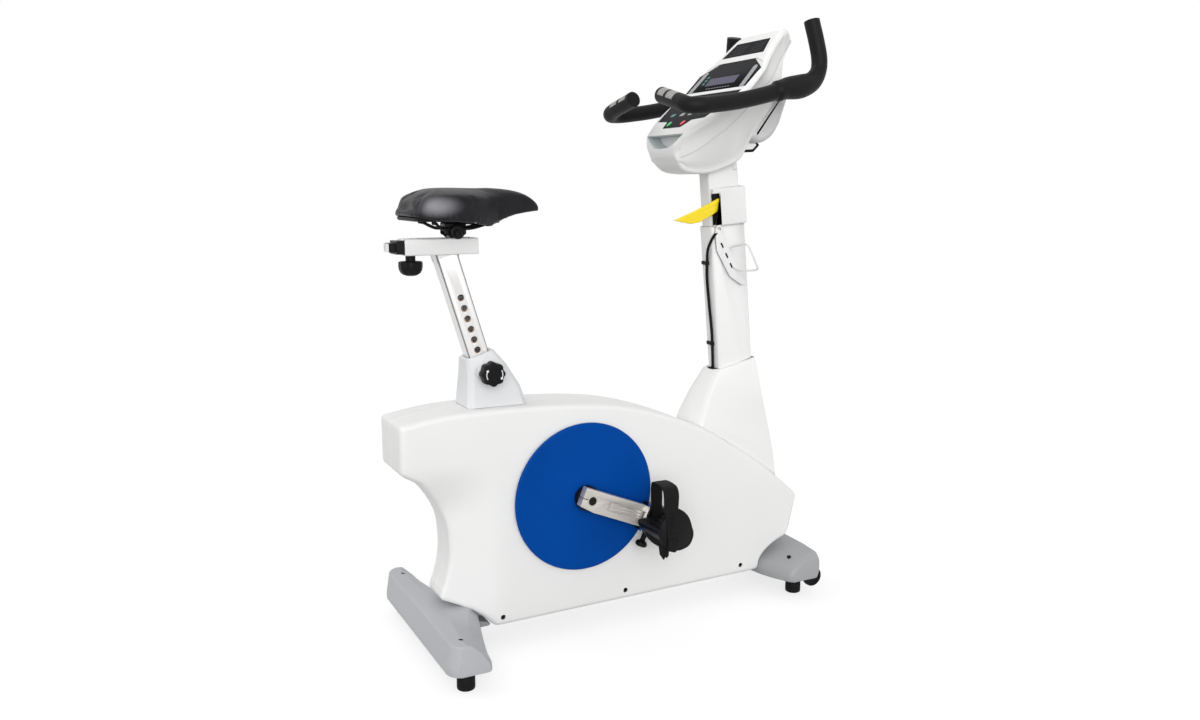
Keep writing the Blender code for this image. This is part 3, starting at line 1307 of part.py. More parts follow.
def make_console():
    seam = seam_line
    back_lines = back_outline + [(x + gap * 0.72, z - gap * 0.69) for x, z in seam[1:]]
    face_seam = len(face_outline) - len(seam_line)
    back_seam = len(back_outline) - 1
    face = solid("console_face", console, console_shape(face_outline, face_seam, console_edge), white_plastic, 35)
    face_room = guide("cut_face_room", console, console_shape(face_outline, face_seam, console_edge,
                                                              console_wall, 0.012))
    back = solid("console_back", console, console_shape(back_lines, back_seam, back_edge), white_plastic, 35)
    back_room = guide("cut_back_room", console, console_shape(back_lines, back_seam, back_edge,
                                                              console_wall, 0.012))
    cut(face, face_room)
    cut(back, back_room)
    pocket = guide("cut_console_mast", upper, block(
        -upper_depth / 2 - gap, upper_depth / 2 + gap, -upper_width / 2 - gap, upper_width / 2 + gap,
        0.40, upper_top + gap))
    neck = guide("cut_console_neck", console, slab(inset(neck_outline, -gap), -neck_half_width - gap,
                                                   neck_half_width + gap))
    bar = guide("cut_console_bar", console, rod(cross_tube_radius + gap, "y", (cross_tube[0], 0, cross_tube[1]),
                                                -0.2, 0.2, 20))
    cut(back, pocket, neck, bar)
    tray_walls = guide("tray_walls", console, loft([tray_ring(tray_wall, 0.15), tray_ring(tray_wall, 1.15)]))
    tray = guide("cut_tray", console, loft([tray_ring(0.0, -0.3), tray_ring(0.0, 1.0)]))
    unite(face, tray_walls)
    cut(face, tray)
    make_screen(face)
    slope = math.atan2(face_bend[1] - face_lower[1], face_bend[0] - face_lower[0])
    for name, sign, finish in (("start_button", 1, green_plastic), ("stop_button", -1, red_plastic)):
        place = (face_lower[0] + math.cos(slope) * button_along, sign * button_y,
                 face_lower[1] + math.sin(slope) * button_along)
        body = pivot(name + "_press", console, place, -slope)
        oval = [(u * button_half_length, v * button_half_width) for u, v in circle(1.0, 16)]
        room = [(u * (button_half_length + gap), v * (button_half_width + gap)) for u, v in circle(1.0, 16)]
        well = guide("cut_" + name, body, loft([level(room, -button_depth - button_travel - gap), level(room, 0.01)]))
        cut(face, well)
        crown = [(x * 0.85, y * 0.8) for x, y in oval]
        solid(name, body, loft([level(oval, -button_depth), level(oval, 0.0012), level(crown, 0.0022)]), finish, 40)


def tray_ring(margin, share):
    # one ring of the tray in the console's chin, share of its depth inwards
    half_y = 0.052 - 0.006 * share + margin
    half_z = 0.0135 - 0.002 * share + margin
    x = 0.240 + tray_depth * share
    z = 1.139
    corners = [(-1, -0.5), (-0.9, -1), (0.9, -1), (1, -0.5), (1, 0.6), (0.9, 1), (-0.9, 1), (-1, 0.6)]
    return [(x, half_y * u, z + half_z * v) for u, v in corners]


def screen_outline(margin):
    # wide over the lower part of the upper face, drawn in to its top
    rows = [(screen_start, screen_half_width), (screen_shoulder, screen_half_width),
            (screen_end, screen_top_half_width)]
    left = [(rows[0][0] - margin, rows[0][1] + margin), (rows[1][0], rows[1][1] + margin),
            (rows[2][0] + margin, rows[2][1] + margin)]
    return [(x, -y) for x, y in left] + left[::-1]


def make_screen(face):
    slope = math.atan2(face_upper[1] - face_bend[1], face_upper[0] - face_bend[0])
    body = pivot("screen_plane", console, (face_bend[0], 0, face_bend[1]), -slope)
    thick = screen_thickness
    recess = guide("cut_screen", body, loft([level(screen_outline(gap), z) for z in (-thick - 2 * gap, 0.01)]))
    cut(face, recess)
    solid("console_screen", body, loft([level(screen_outline(0.0), z) for z in (-thick - gap, -gap)]),
          screen_plastic)


def make_handlebar():
    bore = cross_tube_radius - tube_wall
    profile = [(bore, -cross_tube_reach), (cross_tube_radius, -cross_tube_reach),
               (cross_tube_radius, cross_tube_reach), (bore, cross_tube_reach)]
    tube = solid("handlebar_tube", console, turned(profile, "y", (cross_tube[0], 0, cross_tube[1]), 18,
                                                   closed=True), black_metal, 40)
    for side, sign in sides.items():
        route = [(0.207, bar_side - 0.129, 1.243, pulse_radius), (0.202, bar_side - 0.045, 1.223, pulse_radius),
                 (0.206, bar_side - 0.015, 1.214, bar_radius), (0.228, bar_side - 0.001, 1.213, bar_radius),
                 (0.262, bar_side, 1.216, bar_radius),
                 (0.330, bar_side, 1.226, bar_radius), (0.395, bar_side, 1.240, bar_radius),
                 (0.432, bar_side, 1.250, bar_radius + 0.001), (0.462, bar_side - 0.001, 1.258, palm_radius - 0.002),
                 (0.500, bar_side - 0.003, 1.264, palm_radius), (0.534, bar_side - 0.006, 1.276, palm_radius - 0.004),
                 (0.556, bar_side - 0.010, 1.300, horn_radius + 0.001), (0.563, bar_side - 0.016, 1.330, horn_radius),
                 (0.561, bar_side - 0.026, 1.370, horn_radius), (0.557, bar_side - 0.036, 1.408, horn_radius),
                 (0.556, bar_side - 0.039, 1.419, horn_radius * 0.8)]
        fine = smooth(route, 2) + [route[-1]]
        grip = solid(side + "_grip", console, sweep([(x, sign * y, z) for x, y, z, r in fine],
                                                    [r for x, y, z, r in fine], 10), black_foam, 50)
        ends = sorted((0.0, sign * (cross_tube_reach + gap)))
        socket = guide("cut_" + side + "_grip_socket", console, rod(
            cross_tube_radius + gap, "y", (cross_tube[0], 0, cross_tube[1]), *ends, 20))
        cut(grip, socket)
    outline = [(0.436, 1.096), (0.486, 1.092), (0.520, 1.122), (0.528, 1.150), (0.502, 1.170), (0.4765, 1.166),
               (0.4590, 1.1340)]
    bracket = solid("console_bracket", console, slab(outline, -bracket_half_width, bracket_half_width), black_plastic)
    soften(bracket, 0.002, 1)
    neck = guide("cut_bracket_neck", console, slab(inset(neck_outline, -gap), -neck_half_width - gap,
                                                   neck_half_width + gap))
    mast = guide("cut_bracket_mast", upper, block(
        -0.2, upper_depth / 2 + gap, -0.1, 0.1, 0.30, upper_top + 0.1))
    cut(bracket, neck, mast)
    return tube


def make_cable_and_holder():
    # In the mast's own frame: s up along the mast, t forward, y to the left
    rear = -lower_depth / 2 - cable_radius - gap
    route = [(-0.033, -lower_width / 2 - cable_radius - gap, 0.3365), (-0.040, -lower_width / 2 - 0.0055, 0.334),
             (-0.050, -lower_width / 2 - 0.006, 0.326), (-0.0570, -lower_width / 2 + 0.000, 0.310),
             (rear - 0.002, -0.013, 0.291), (rear, -0.004, 0.262), (rear, 0.001, 0.222), (rear, -0.002, 0.153),
             (rear, -0.006, 0.087), (rear, -0.003, 0.022), (rear, 0.0, -0.012), (rear, 0.0, -0.040)]
    wire("console_cable", mast_frame, smooth(route, 3) + [route[-1]], cable_radius, black_rubber)
    # Bottle holder: a slotted plate on two bosses, and a wire hoop
    place = pivot("holder_frame", mast_frame, (0.018, -lower_width / 2 - gap, 0.268), holder_tilt * -1 - mast_tilt)
    half = holder_half_length
    plate = solid("holder_plate", place, block(-holder_half_width, holder_half_width, -0.006 - holder_thickness,
                                               -0.006, -half, half), white_paint)
    soften(plate, 0.0008, 1)
    for k, height in enumerate((-0.045, 0.045)):
        boss = guide("holder_boss_%d" % k, place, rod(0.006, "y", (0, 0, height), -0.0065, 0.0, 12))
        unite(plate, boss)
    for k, height in enumerate((-0.022, 0.004, 0.028)):
        slot = guide("cut_holder_slot_%d" % k, place, block(-0.0045, 0.0045, -0.02, -0.003,
                                                            height - 0.008, height + 0.008))
        cut(plate, slot)
    face = -0.006 - holder_thickness - gap - hoop_radius
    loop = [(0.0, face - 0.002, 0.040), (0.0, face, 0.028), (0.0, face, -0.028), (0.0, face - 0.002, -0.041),
            (0.004, face - 0.016, -0.047), (0.010, face - 0.052, -0.050), (0.014, face - 0.058, -0.042),
            (0.014, face - 0.058, 0.034), (0.010, face - 0.052, 0.042), (0.006, face - 0.012, 0.046)]
    wire("holder_hoop", place, smooth(loop, 3) + [loop[-1]], hoop_radius, white_paint, 1)


make_main_frame()
make_feet()
make_wheels()
make_covers()
make_housing()
make_boots()
make_bearings()
make_crank_parts()
for side, sign in sides.items():
    make_arm(side, sign)
    make_carriage(side, sign)
make_drive()
make_seat_parts()
make_mast()
make_console()
make_handlebar()
make_cable_and_holder()
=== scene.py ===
import json
import math
from contextlib import contextmanager
import bmesh
import bpy
import numpy as np
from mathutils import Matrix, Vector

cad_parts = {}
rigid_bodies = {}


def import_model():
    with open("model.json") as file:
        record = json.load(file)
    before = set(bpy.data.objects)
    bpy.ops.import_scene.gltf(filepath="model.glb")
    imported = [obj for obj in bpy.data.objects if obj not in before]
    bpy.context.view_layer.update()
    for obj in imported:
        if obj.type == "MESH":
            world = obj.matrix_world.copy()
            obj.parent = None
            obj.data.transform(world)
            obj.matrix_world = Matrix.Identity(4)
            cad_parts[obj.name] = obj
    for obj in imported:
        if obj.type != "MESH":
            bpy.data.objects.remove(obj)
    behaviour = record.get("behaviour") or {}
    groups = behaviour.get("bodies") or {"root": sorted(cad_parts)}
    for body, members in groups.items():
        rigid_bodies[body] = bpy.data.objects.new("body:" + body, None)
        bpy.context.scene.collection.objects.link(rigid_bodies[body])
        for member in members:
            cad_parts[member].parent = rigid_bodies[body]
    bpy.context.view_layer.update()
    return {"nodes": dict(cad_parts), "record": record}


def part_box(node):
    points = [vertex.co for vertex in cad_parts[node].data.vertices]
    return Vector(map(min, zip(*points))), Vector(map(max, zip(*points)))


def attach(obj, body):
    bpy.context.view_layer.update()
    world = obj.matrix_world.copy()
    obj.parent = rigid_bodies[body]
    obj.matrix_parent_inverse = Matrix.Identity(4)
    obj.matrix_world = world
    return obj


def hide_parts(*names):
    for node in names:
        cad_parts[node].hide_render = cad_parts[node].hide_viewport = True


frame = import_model()
nodes = frame["nodes"]
slots = {row["node"]: row["material_slot"] for row in frame["record"]["subparts"]}
print("frame loaded")

# the CAD source counts x from the crank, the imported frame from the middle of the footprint
shiftX = -0.1095
shift = (shiftX, 0)
crankCentre = np.array([shiftX, 0.0, 0.33])
postFoot = np.array([-0.229 + shiftX, 0.0, 0.673])
postUp = np.array([-0.29237, 0.0, 0.9563])
mastFoot = np.array([0.456 + shiftX, 0.0, 0.597])
mastUp = np.array([-0.09307, 0.0, 0.99566])
mastAhead = np.array([0.99566, 0.0, 0.09307])
rail = {"low": 0.0617, "high": 0.1023, "half": 0.0203}
handed = (("right", -1), ("left", 1))


# Lines and surfaces, all as whole arrays

def unit(vectors):
    # each vector divided by its length
    return vectors / np.maximum(1e-9, np.linalg.norm(vectors, axis=-1, keepdims=True))


def eased(t):
    # three t squared less two t cubed: 0 to 1 with level ends
    return t ** 2 * (3 - 2 * t)


def reachAlong(line):
    # the distance from the line's start to each of its points
    return np.concatenate([[0], np.cumsum(np.linalg.norm(np.diff(line, axis=0), axis=1))])


def smoothLine(points, steps, closed=False):
    # Catmull-Rom: each span is the cubic through its two points with its neighbours' slope
    points = np.asarray(points, float)
    if closed:
        padded = np.concatenate([points[-1:], points, points[:2]])
    else:
        padded = np.concatenate([points[:1], points, points[-1:]])
    spans = len(padded) - 3
    t = np.arange(steps) / steps
    powers = np.stack([np.ones_like(t), t, t ** 2, t ** 3])
    basis = 0.5 * np.array([[0, 2, 0, 0], [-1, 0, 1, 0], [2, -5, 4, -1], [-1, 3, -3, 1]], float)
    stack = np.stack([padded[k:k + spans] for k in range(4)])
    line = np.einsum("tk,ksd->std", powers.T @ basis, stack).reshape(-1, points.shape[1])
    return line if closed else np.concatenate([line, points[-1:]])


def evenLine(points, count):
    # the same line with its points at even distances along it
    reach = reachAlong(points)
    places = np.linspace(0, reach[-1], count)
    return np.stack([np.interp(places, reach, column) for column in np.asarray(points).T], -1)


def insetLine(line, distance):
    # a closed flat line moved inwards by the distance, along the mean of its two sides' normals
    line = np.asarray(line, float)
    after = np.roll(line, -1, 0)
    area = np.sum(line[:, 0] * after[:, 1] - after[:, 0] * line[:, 1])
    ahead = unit(after - line)
    normal = np.stack([-ahead[:, 1], ahead[:, 0]], -1) * np.sign(area)
    mean = unit(normal + np.roll(normal, 1, 0))
    share = np.maximum(0.6, np.sum(mean * normal, 1, keepdims=True))
    return line + mean * np.asarray(distance).reshape(-1, 1) / share


def softCorners(line, radius, steps=5):
    # every corner sharper than the curve's own steps is drawn as a short arc
    line = np.asarray(line, float)
    before = np.roll(line, 1, 0) - line
    after = np.roll(line, -1, 0) - line
    nearBefore = np.linalg.norm(before, axis=1, keepdims=True)
    nearAfter = np.linalg.norm(after, axis=1, keepdims=True)
    reach = np.minimum(radius, 0.45 * np.minimum(nearBefore, nearAfter))
    start = line + before / nearBefore * reach
    end = line + after / nearAfter * reach
    t = np.linspace(0, 1, steps)[None, :, None]
    arcs = (1 - t) ** 2 * start[:, None] + 2 * t * (1 - t) * line[:, None] + t ** 2 * end[:, None]
    return arcs.reshape(-1, 2)


def circleLine(sides):
    # the cosine and sine of even turns
    turn = np.linspace(0, 2 * math.pi, sides, endpoint=False)
    return np.stack([np.cos(turn), np.sin(turn)], -1)


def flatAt(line, y):
    # a line of x and z as points at one y
    return np.stack([line[:, 0], np.full(len(line), y), line[:, 1]], -1)


def gridFaces(rows, cols, wrapRows):
    # quads between neighbours; the columns always close, the rows only when they wrap
    r, c = np.meshgrid(np.arange(rows if wrapRows else rows - 1), np.arange(cols), indexing="ij")
    below, beside = (r + 1) % rows, (c + 1) % cols
    corners = [r * cols + c, r * cols + beside, below * cols + beside, below * cols + c]
    return np.stack(corners, -1).reshape(-1, 4).tolist()


def revolved(profile, axis, centre, sides=64, swell=1.0):
    # each (radius, height) of the profile carried round the axis, its radius scaled by the swell
    profile = np.asarray(profile, float)
    u, v = (profile[:, :1] * column[None] * swell for column in circleLine(sides).T)
    height = np.repeat(profile[:, 1:2], sides, 1)
    order = {"x": (height, u, v), "y": (v, height, u), "z": (u, v, height)}[axis]
    return np.stack(order, -1) + np.asarray(centre, float)


def tubeRings(line, radius, sides, ahead, side):
    # a circle at each point of the line, in the plane across the line's direction
    ring = circleLine(sides)
    rise = np.cross(side, ahead)
    around = ring[None, :, :1] * side[:, None] + ring[None, :, 1:] * rise[:, None]
    return line[:, None] + np.reshape(radius, (-1, 1, 1)) * around


def tubeGrid(line, radius, sides, up):
    # a circle carried along the line; each frame is built against one fixed direction
    ahead = unit(np.gradient(line, axis=0))
    return tubeRings(line, radius, sides, ahead, unit(np.cross(ahead, up)))


def carriedTube(line, radius, sides):
    # the frame is turned from point to point by the smallest turn, so a full bend doesn't twist it
    ahead = unit(np.gradient(line, axis=0))
    frames = [np.cross(ahead[0], (0.0, 0.0, 1.0))]
    for direction in ahead:
        frames.append(unit(frames[-1] - direction * np.dot(frames[-1], direction)))
    return tubeRings(line, radius, sides, ahead, np.stack(frames[1:]))


# Meshes

@contextmanager
def edited(mesh):
    # the mesh opened for editing and written back
    work = bmesh.new()
    work.from_mesh(mesh)
    yield work
    work.to_mesh(mesh)
    work.free()


def linked(name, mesh):
    piece = bpy.data.objects.new(name, mesh)
    bpy.context.scene.collection.objects.link(piece)
    return piece


def shaded(piece, angle=None):
    # smooth, apart from the edges that turn by more than the angle
    piece.data.shade_smooth()
    if angle:
        piece.data.set_sharp_from_angle(angle=math.radians(angle))
    return piece


def evaluated(piece):
    return bpy.data.meshes.new_from_object(piece.evaluated_get(bpy.context.evaluated_depsgraph_get()))


def baked(piece):
    # the modifiers become part of the mesh
    shaped = evaluated(piece)
    piece.modifiers.clear()
    piece.data = shaped
    return piece


def pointsOf(mesh):
    place = np.empty(len(mesh.vertices) * 3)
    mesh.vertices.foreach_get("co", place)
    return place.reshape(-1, 3)


def movePoints(mesh, place):
    mesh.vertices.foreach_set("co", place.ravel())
    mesh.update()


def solid(name, grid, faces, merge):
    # a new piece, with points closer than the merge distance joined and its faces turned outwards
    mesh = bpy.data.meshes.new(name)
    mesh.from_pydata(grid.reshape(-1, 3).tolist(), [], faces)
    with edited(mesh) as work:
        if merge:
            bmesh.ops.remove_doubles(work, verts=work.verts, dist=merge)
        bmesh.ops.recalc_face_normals(work, faces=work.faces)
    return linked(name, mesh)


def surface(name, grid, wrapRows=False, caps=True, smooth=True, angle=None):
    # a grid of points (rows, columns, xyz) as quads, with its open rows closed by one face each
    rows, cols = grid.shape[:2]
    faces = gridFaces(rows, cols, wrapRows)
    if caps and not wrapRows:
        faces.append(list(range(cols))[::-1])
        faces.append(list(range((rows - 1) * cols, rows * cols)))
    piece = solid(name, grid, faces, 1e-6)
    return shaded(piece, angle) if smooth else piece


def carved(piece, *cutters, operation="DIFFERENCE"):
    # the piece with the cutters' room taken out of it; the cutters are then gone
    for cutter in cutters:
        step = piece.modifiers.new("room", "BOOLEAN")
        step.operation = operation
        step.solver = "EXACT"
        step.object = cutter
    baked(piece)
    for cutter in cutters:
        bpy.data.objects.remove(cutter, do_unlink=True)
    return piece


def plate(name, outline, low, high, bevel=0.0006, corner=0.002):
    # an outline in x and z carried across from low to high, with the edge of its outer face eased
    outline = softCorners(outline, corner, 4)
    step = math.copysign(bevel, high - low)
    rings = ((bevel * 0.5, low), (0.0, low + step * 0.5), (0.0, high - step), (bevel * 0.3, high - step * 0.3),
             (bevel, high))
    return surface(name, np.stack([flatAt(insetLine(outline, depth), y) for depth, y in rings]), angle=35)


def block(name, low, high, bevel=0.001):
    # a box from its two corners with its four long edges rounded; x counts from the crank
    (x0, y0, z0), (x1, y1, z1) = low, high
    return plate(name, np.array([(x0, z0), (x1, z0), (x1, z1), (x0, z1)]) + shift, y0, y1, bevel, bevel * 2)


def room(line, *places):
    # a sharp block to cut with: a line of x and z carried from y to y
    return surface("room", np.stack([flatAt(line, y) for y in places]), smooth=False)


def rodRoom(x, z, radius, low, high, sides=32):
    # a round bar across, to cut with; x counts from the crank
    return surface("room", revolved([(radius, low), (radius, high)], "y", (x + shiftX, 0, z), sides))


def turned(name, profile, origin, along, sides=48):
    # a lathe profile of (radius, distance) about any line
    along = unit(np.asarray(along, float))
    side = unit(np.cross(along, (0.0, 1.0, 0.0)))
    profile = np.asarray(profile, float)
    ring = circleLine(sides)
    around = ring[:, :1] * side + ring[:, 1:] * np.cross(along, side)
    grid = profile[:, None, :1] * around[None] + profile[:, None, 1:] * along
    return surface(name, grid + np.asarray(origin, float), angle=40)


def pillow(name, outline, half, edge):
    # an outline in x and z carried across both ways, its edges rolled over by a quarter circle
    rings = [(insetLine(outline, edge * (1 - math.sin(a))), -half + edge * (1 - math.cos(a)))
             for a in np.linspace(0, math.pi / 2, 8)]
    rings += [(ring, -y) for ring, y in rings[::-1]]
    return surface(name, np.stack([flatAt(ring, y) for ring, y in rings]), angle=50)


# Shader maths: a socket that can be added, multiplied and compared

class Wire:
    def __init__(self, finish, socket):
        self.finish = finish
        self.socket = socket

    def maths(self, operation, *values, clamp=False):
        made = self.finish.tree.nodes.new("ShaderNodeMath")
        made.operation = operation
        made.use_clamp = clamp
        for place, value in enumerate(values):
            self.finish.join(value, made.inputs[place])
        return Wire(self.finish, made.outputs[0])

    def __add__(self, other):
        return self.maths("ADD", self, other)

    def __sub__(self, other):
        return self.maths("SUBTRACT", self, other)

    def __rsub__(self, other):
        return self.maths("SUBTRACT", other, self)

    def __mul__(self, other):
        return self.maths("MULTIPLY", self, other)

    def __pow__(self, other):
        return self.maths("POWER", self, other)

    def __abs__(self):
        return self.maths("ABSOLUTE", self)

    def above(self, level, soft=0.05):
        # 0 below the level, 1 above it, over a soft step
        return self.maths("MULTIPLY", self - (level - soft / 2), 1 / soft, clamp=True)


class Finish:
    def __init__(self, name, color, roughness, metallic=0.0, **fixed):
        self.material = bpy.data.materials.new(name)
        self.material.use_nodes = True
        self.tree = self.material.node_tree
        self.shader = self.tree.nodes["Principled BSDF"]
        self.place = self.node("ShaderNodeTexCoord", {}, {}, "Object")
        self.height = None
        for key, value in dict(fixed, Base_Color=(*color, 1), Roughness=roughness, Metallic=metallic).items():
            self.shader.inputs[key.replace("_", " ")].default_value = value

    def join(self, value, socket):
        if isinstance(value, Wire):
            self.tree.links.new(value.socket, socket)
        else:
            socket.default_value = value

    def node(self, kind, settings, values, output=0):
        made = self.tree.nodes.new(kind)
        for key, value in settings.items():
            setattr(made, key, value)
        for key, value in values.items():
            self.join(value, made.inputs[key])
        return Wire(self, made.outputs[output])

    def noise(self, scale, detail=3.0, stretch=None, turn=(0, 0, 0), rough=0.5):
        place = self.place
        if stretch:
            place = self.node("ShaderNodeMapping", {}, {"Vector": place, "Scale": stretch, "Rotation": turn})
        values = {"Vector": place, "Scale": scale, "Detail": detail, "Roughness": rough}
        return self.node("ShaderNodeTexNoise", {}, values, "Fac")

    def axis(self, letter):
        return self.node("ShaderNodeSeparateXYZ", {}, {"Vector": self.place}, letter)

    def tint(self, share, first, second):
        # the first colour where the share is 0, the second where it is 1
        mixed = self.node("ShaderNodeMix", {"data_type": "RGBA"}, {}, 2)
        inputs = mixed.socket.node.inputs
        for socket, value in ((inputs[0], share), (inputs[6], first), (inputs[7], second)):
            self.join((*value, 1) if isinstance(value, tuple) else value, socket)
        return mixed

    def feed(self, name, wire):
        self.join(wire, self.shader.inputs[name])
        return self

    def bump(self, height, distance):
        # bumps stack: each new one starts from the last one's normal
        values = {"Height": height, "Distance": distance, "Strength": 1.0}
        if self.height:
            values["Normal"] = self.height
        self.height = self.node("ShaderNodeBump", {}, values)
        return self.feed("Normal", self.height)


def scaled(color, factor):
    # a colour times the factor, kept below white
    return tuple(min(1.0, c * factor) for c in color)


def mouldedPlastic(name, color, roughness, grain=0.00006, drift=0.04, coat=0.0, gloss=0.5):
    # injection moulded: a fine spark-eroded grain, and a slow drift of tone and gloss
    made = Finish(name, color, roughness, Coat_Weight=coat, Coat_Roughness=0.2, Specular_IOR_Level=gloss)
    slow = made.noise(5.0, 2.0)
    fine = made.noise(1400.0, 2.0)
    made.feed("Base Color", made.tint(slow, scaled(color, 1 - drift), scaled(color, 1 + drift * 0.6)))
    made.feed("Roughness", fine * 0.1 + slow * 0.08 + (roughness - 0.09))
    return made.bump(made.noise(220.0, 3.0), grain * 1.5).bump(fine, grain)


def powderCoat(name, color, roughness, gloss=0.5):
    # sprayed and baked: a soft orange peel over a slow drift of tone
    made = Finish(name, color, roughness, Coat_Weight=0.12 * gloss, Coat_Roughness=0.15,
                  Specular_IOR_Level=gloss)
    slow = made.noise(7.0, 2.0)
    peel = made.noise(420.0, 1.0)
    made.feed("Base Color", made.tint(slow, scaled(color, 0.965), color))
    made.feed("Roughness", peel * 0.12 + (roughness - 0.06))
    return made.bump(peel, 0.00012)


def blackRubber(name, shade, roughness, grain=0.00012, gloss=0.25):
    # dull, with a little dust in the pores
    color = (shade, shade, shade)
    made = Finish(name, color, roughness, Specular_IOR_Level=gloss)
    dust = made.noise(18.0, 4.0)
    made.feed("Base Color", made.tint(dust, scaled(color, 0.7), scaled(color, 1.6)))
    made.feed("Roughness", dust * 0.15 + (roughness - 0.07))
    return made.bump(made.noise(900.0, 3.0), grain)


def brushedMetal(name, color, roughness, stretch, turn=0.0, depth=0.00005, streak=0.16, metallic=1.0):
    # the tool's marks run along one direction, turned about y: noise drawn out along it
    made = Finish(name, color, roughness, metallic)
    lines = made.noise(1.0, 4.0, stretch, (0, turn, 0), 0.65)
    slow = made.noise(14.0, 2.0)
    made.feed("Base Color", made.tint(lines, scaled(color, 1 - streak), scaled(color, 1.08)))
    made.feed("Roughness", lines * 0.18 + slow * 0.08 + (roughness - 0.12))
    return made.bump(lines, depth)


armTurn = math.radians(22.7)
postLean = 0.297
finishes = {slotName: kind(slotName.replace("_", " "), *facts) for slotName, kind, *facts in (
    ("white_paint", powderCoat, (0.84, 0.84, 0.835), 0.34),
    ("white_plastic", mouldedPlastic, (0.86, 0.86, 0.852), 0.4),
    ("pale_grey_plastic", mouldedPlastic, (0.5, 0.505, 0.52), 0.46),
    ("black_plastic", mouldedPlastic, (0.0055, 0.0055, 0.006), 0.46, 0.0001, 0.2, 0.0, 0.12),
    ("black_metal", powderCoat, (0.006, 0.006, 0.0063), 0.36, 0.16),
    ("screen_plastic", mouldedPlastic, (0.052, 0.047, 0.075), 0.22, 0.00001, 0.2, 0.1, 0.3),
    ("black_foam", blackRubber, 0.0065, 0.5, 0.00018, 0.14),
    ("black_rubber", blackRubber, 0.0055, 0.62, 0.00012, 0.12),
    ("blue_plastic", mouldedPlastic, (0.0005, 0.064, 0.345), 0.42, 0.00005, 0.26, 0.0, 0.05),
    ("frame_paint", powderCoat, (0.55, 0.55, 0.55), 0.42),
    ("milled_alloy", brushedMetal, (0.68, 0.645, 0.6), 0.38, (5.0, 900.0, 900.0), armTurn, 0.00012, 0.34, 0.45),
    ("bright_steel", brushedMetal, (0.74, 0.73, 0.73), 0.2, (260.0, 260.0, 6.0), postLean, 0.00001, 0.05),
    ("cast_steel", brushedMetal, (0.26, 0.26, 0.27), 0.46, (90.0, 900.0, 90.0)),
    ("grey_vinyl", blackRubber, 0.05, 0.4),
    ("yellow_plastic", mouldedPlastic, (0.97, 0.74, 0.01), 0.36, 0.00005, 0.05, 0.2),
    ("green_plastic", mouldedPlastic, (0.0, 0.62, 0.1), 0.3, 0.00003, 0.1, 0.3),
    ("red_plastic", mouldedPlastic, (0.9, 0.03, 0.065), 0.3, 0.00003, 0.1, 0.3))}
padSteel = brushedMetal("sensor steel", (0.4, 0.395, 0.385), 0.36, (300.0, 8.0, 300.0), metallic=0.8)


def bodyOf(nodeName):
    return nodes[nodeName].parent.name.split(":", 1)[1]


def dress(piece, slotName, body, *replaced, finish=None):
    # gives a new piece its finish, the body it rides on and the nodes it stands for
    piece.data.materials.clear()
    piece.data.materials.append((finish or finishes[slotName]).material)
    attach(piece, body)
    if replaced:
        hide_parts(*replaced)
    return piece


def refine(nodeName, width, segments=2, finish=None, rooms=()):
    # a merged copy of a CAD node with its sharp edges rounded, in that node's place
    mesh = nodes[nodeName].data.copy()
    with edited(mesh) as work:
        bmesh.ops.remove_doubles(work, verts=work.verts, dist=1e-5)
        bmesh.ops.dissolve_limit(work, angle_limit=math.radians(0.8), verts=work.verts, edges=work.edges)
    piece = carved(shaded(linked(nodeName + "_shape", mesh)), *rooms)
    rounding = piece.modifiers.new("rounded edges", "BEVEL")
    rounding.width = width
    rounding.segments = segments
    rounding.limit_method = "ANGLE"
    rounding.angle_limit = math.radians(30)
    rounding.harden_normals = True
    rounding.use_clamp_overlap = False
    return dress(piece, slots[nodeName], bodyOf(nodeName), nodeName, finish=finish)


def ringPiece(name, profile, centre, sides, slotName, body, *replaced, sign=1, **how):
    # a profile of (radius, distance out) turned about a line across the bike, on the side of the sign
    grid = revolved([(r, sign * y) for r, y in profile], "y", centre, sides)
    return dress(surface(name, grid, **how), slotName, body, *replaced)


# Camera: fitted to the photograph's vanishing lines
camera = bpy.data.objects.new("camera", bpy.data.cameras.new("camera"))
camera.data.sensor_width = 36.0
camera.data.lens = 30.487
camera.location = (-1.122, -2.1122, 1.0393)
camera.rotation_euler = (math.radians(80.282), 0, math.radians(-27.411))
bpy.context.scene.collection.objects.link(camera)
bpy.context.scene.camera = camera


# Console cable, clipped down the back of the mast
def onMast(t, y, s):
    # t forward across the mast, y to the left, s up along it
    return mastFoot + t * mastAhead + np.array([0.0, y, 0.0]) + s * mastUp


cable = {"radius": 0.0035, "halfDepth": 0.05, "halfWidth": 0.027, "gap": 0.0003, "clips": (0.2605, 0.0577),
         "clipWall": 0.0016, "mastFace": -0.0503}
cableRear = -cable["halfDepth"] - cable["radius"] - cable["gap"]
cableSide = -cable["halfWidth"] - cable["radius"] - cable["gap"]
cableRoute = [(-0.033, cableSide, 0.3365), (-0.04, -0.0325, 0.334), (-0.05, -0.033, 0.326),
              (-0.057, -0.027, 0.31), (cableRear - 0.002, -0.013, 0.291), (cableRear, -0.004, 0.262),
              (cableRear, 0.001, 0.222), (cableRear, -0.002, 0.153), (cableRear, -0.006, 0.087),
              (cableRear, -0.003, 0.022), (cableRear, 0.0, -0.012), (cableRear, 0.0, -0.04)]
cableLine = smoothLine([onMast(*point) for point in cableRoute], 6)
cablePiece = surface("console_cable_sheath", tubeGrid(cableLine, cable["radius"], 12, (0.3, 1.0, 0.1)))
dress(cablePiece, "black_rubber", "frame", "console_cable")


def clipPart(name, section, heights, **how):
    # a section across and forward, carried up along the mast
    rows = [np.stack([onMast(t, across, s) for across, t in section]) for s in heights]
    dress(surface(name, np.stack(rows), **how), "black_plastic", "frame")


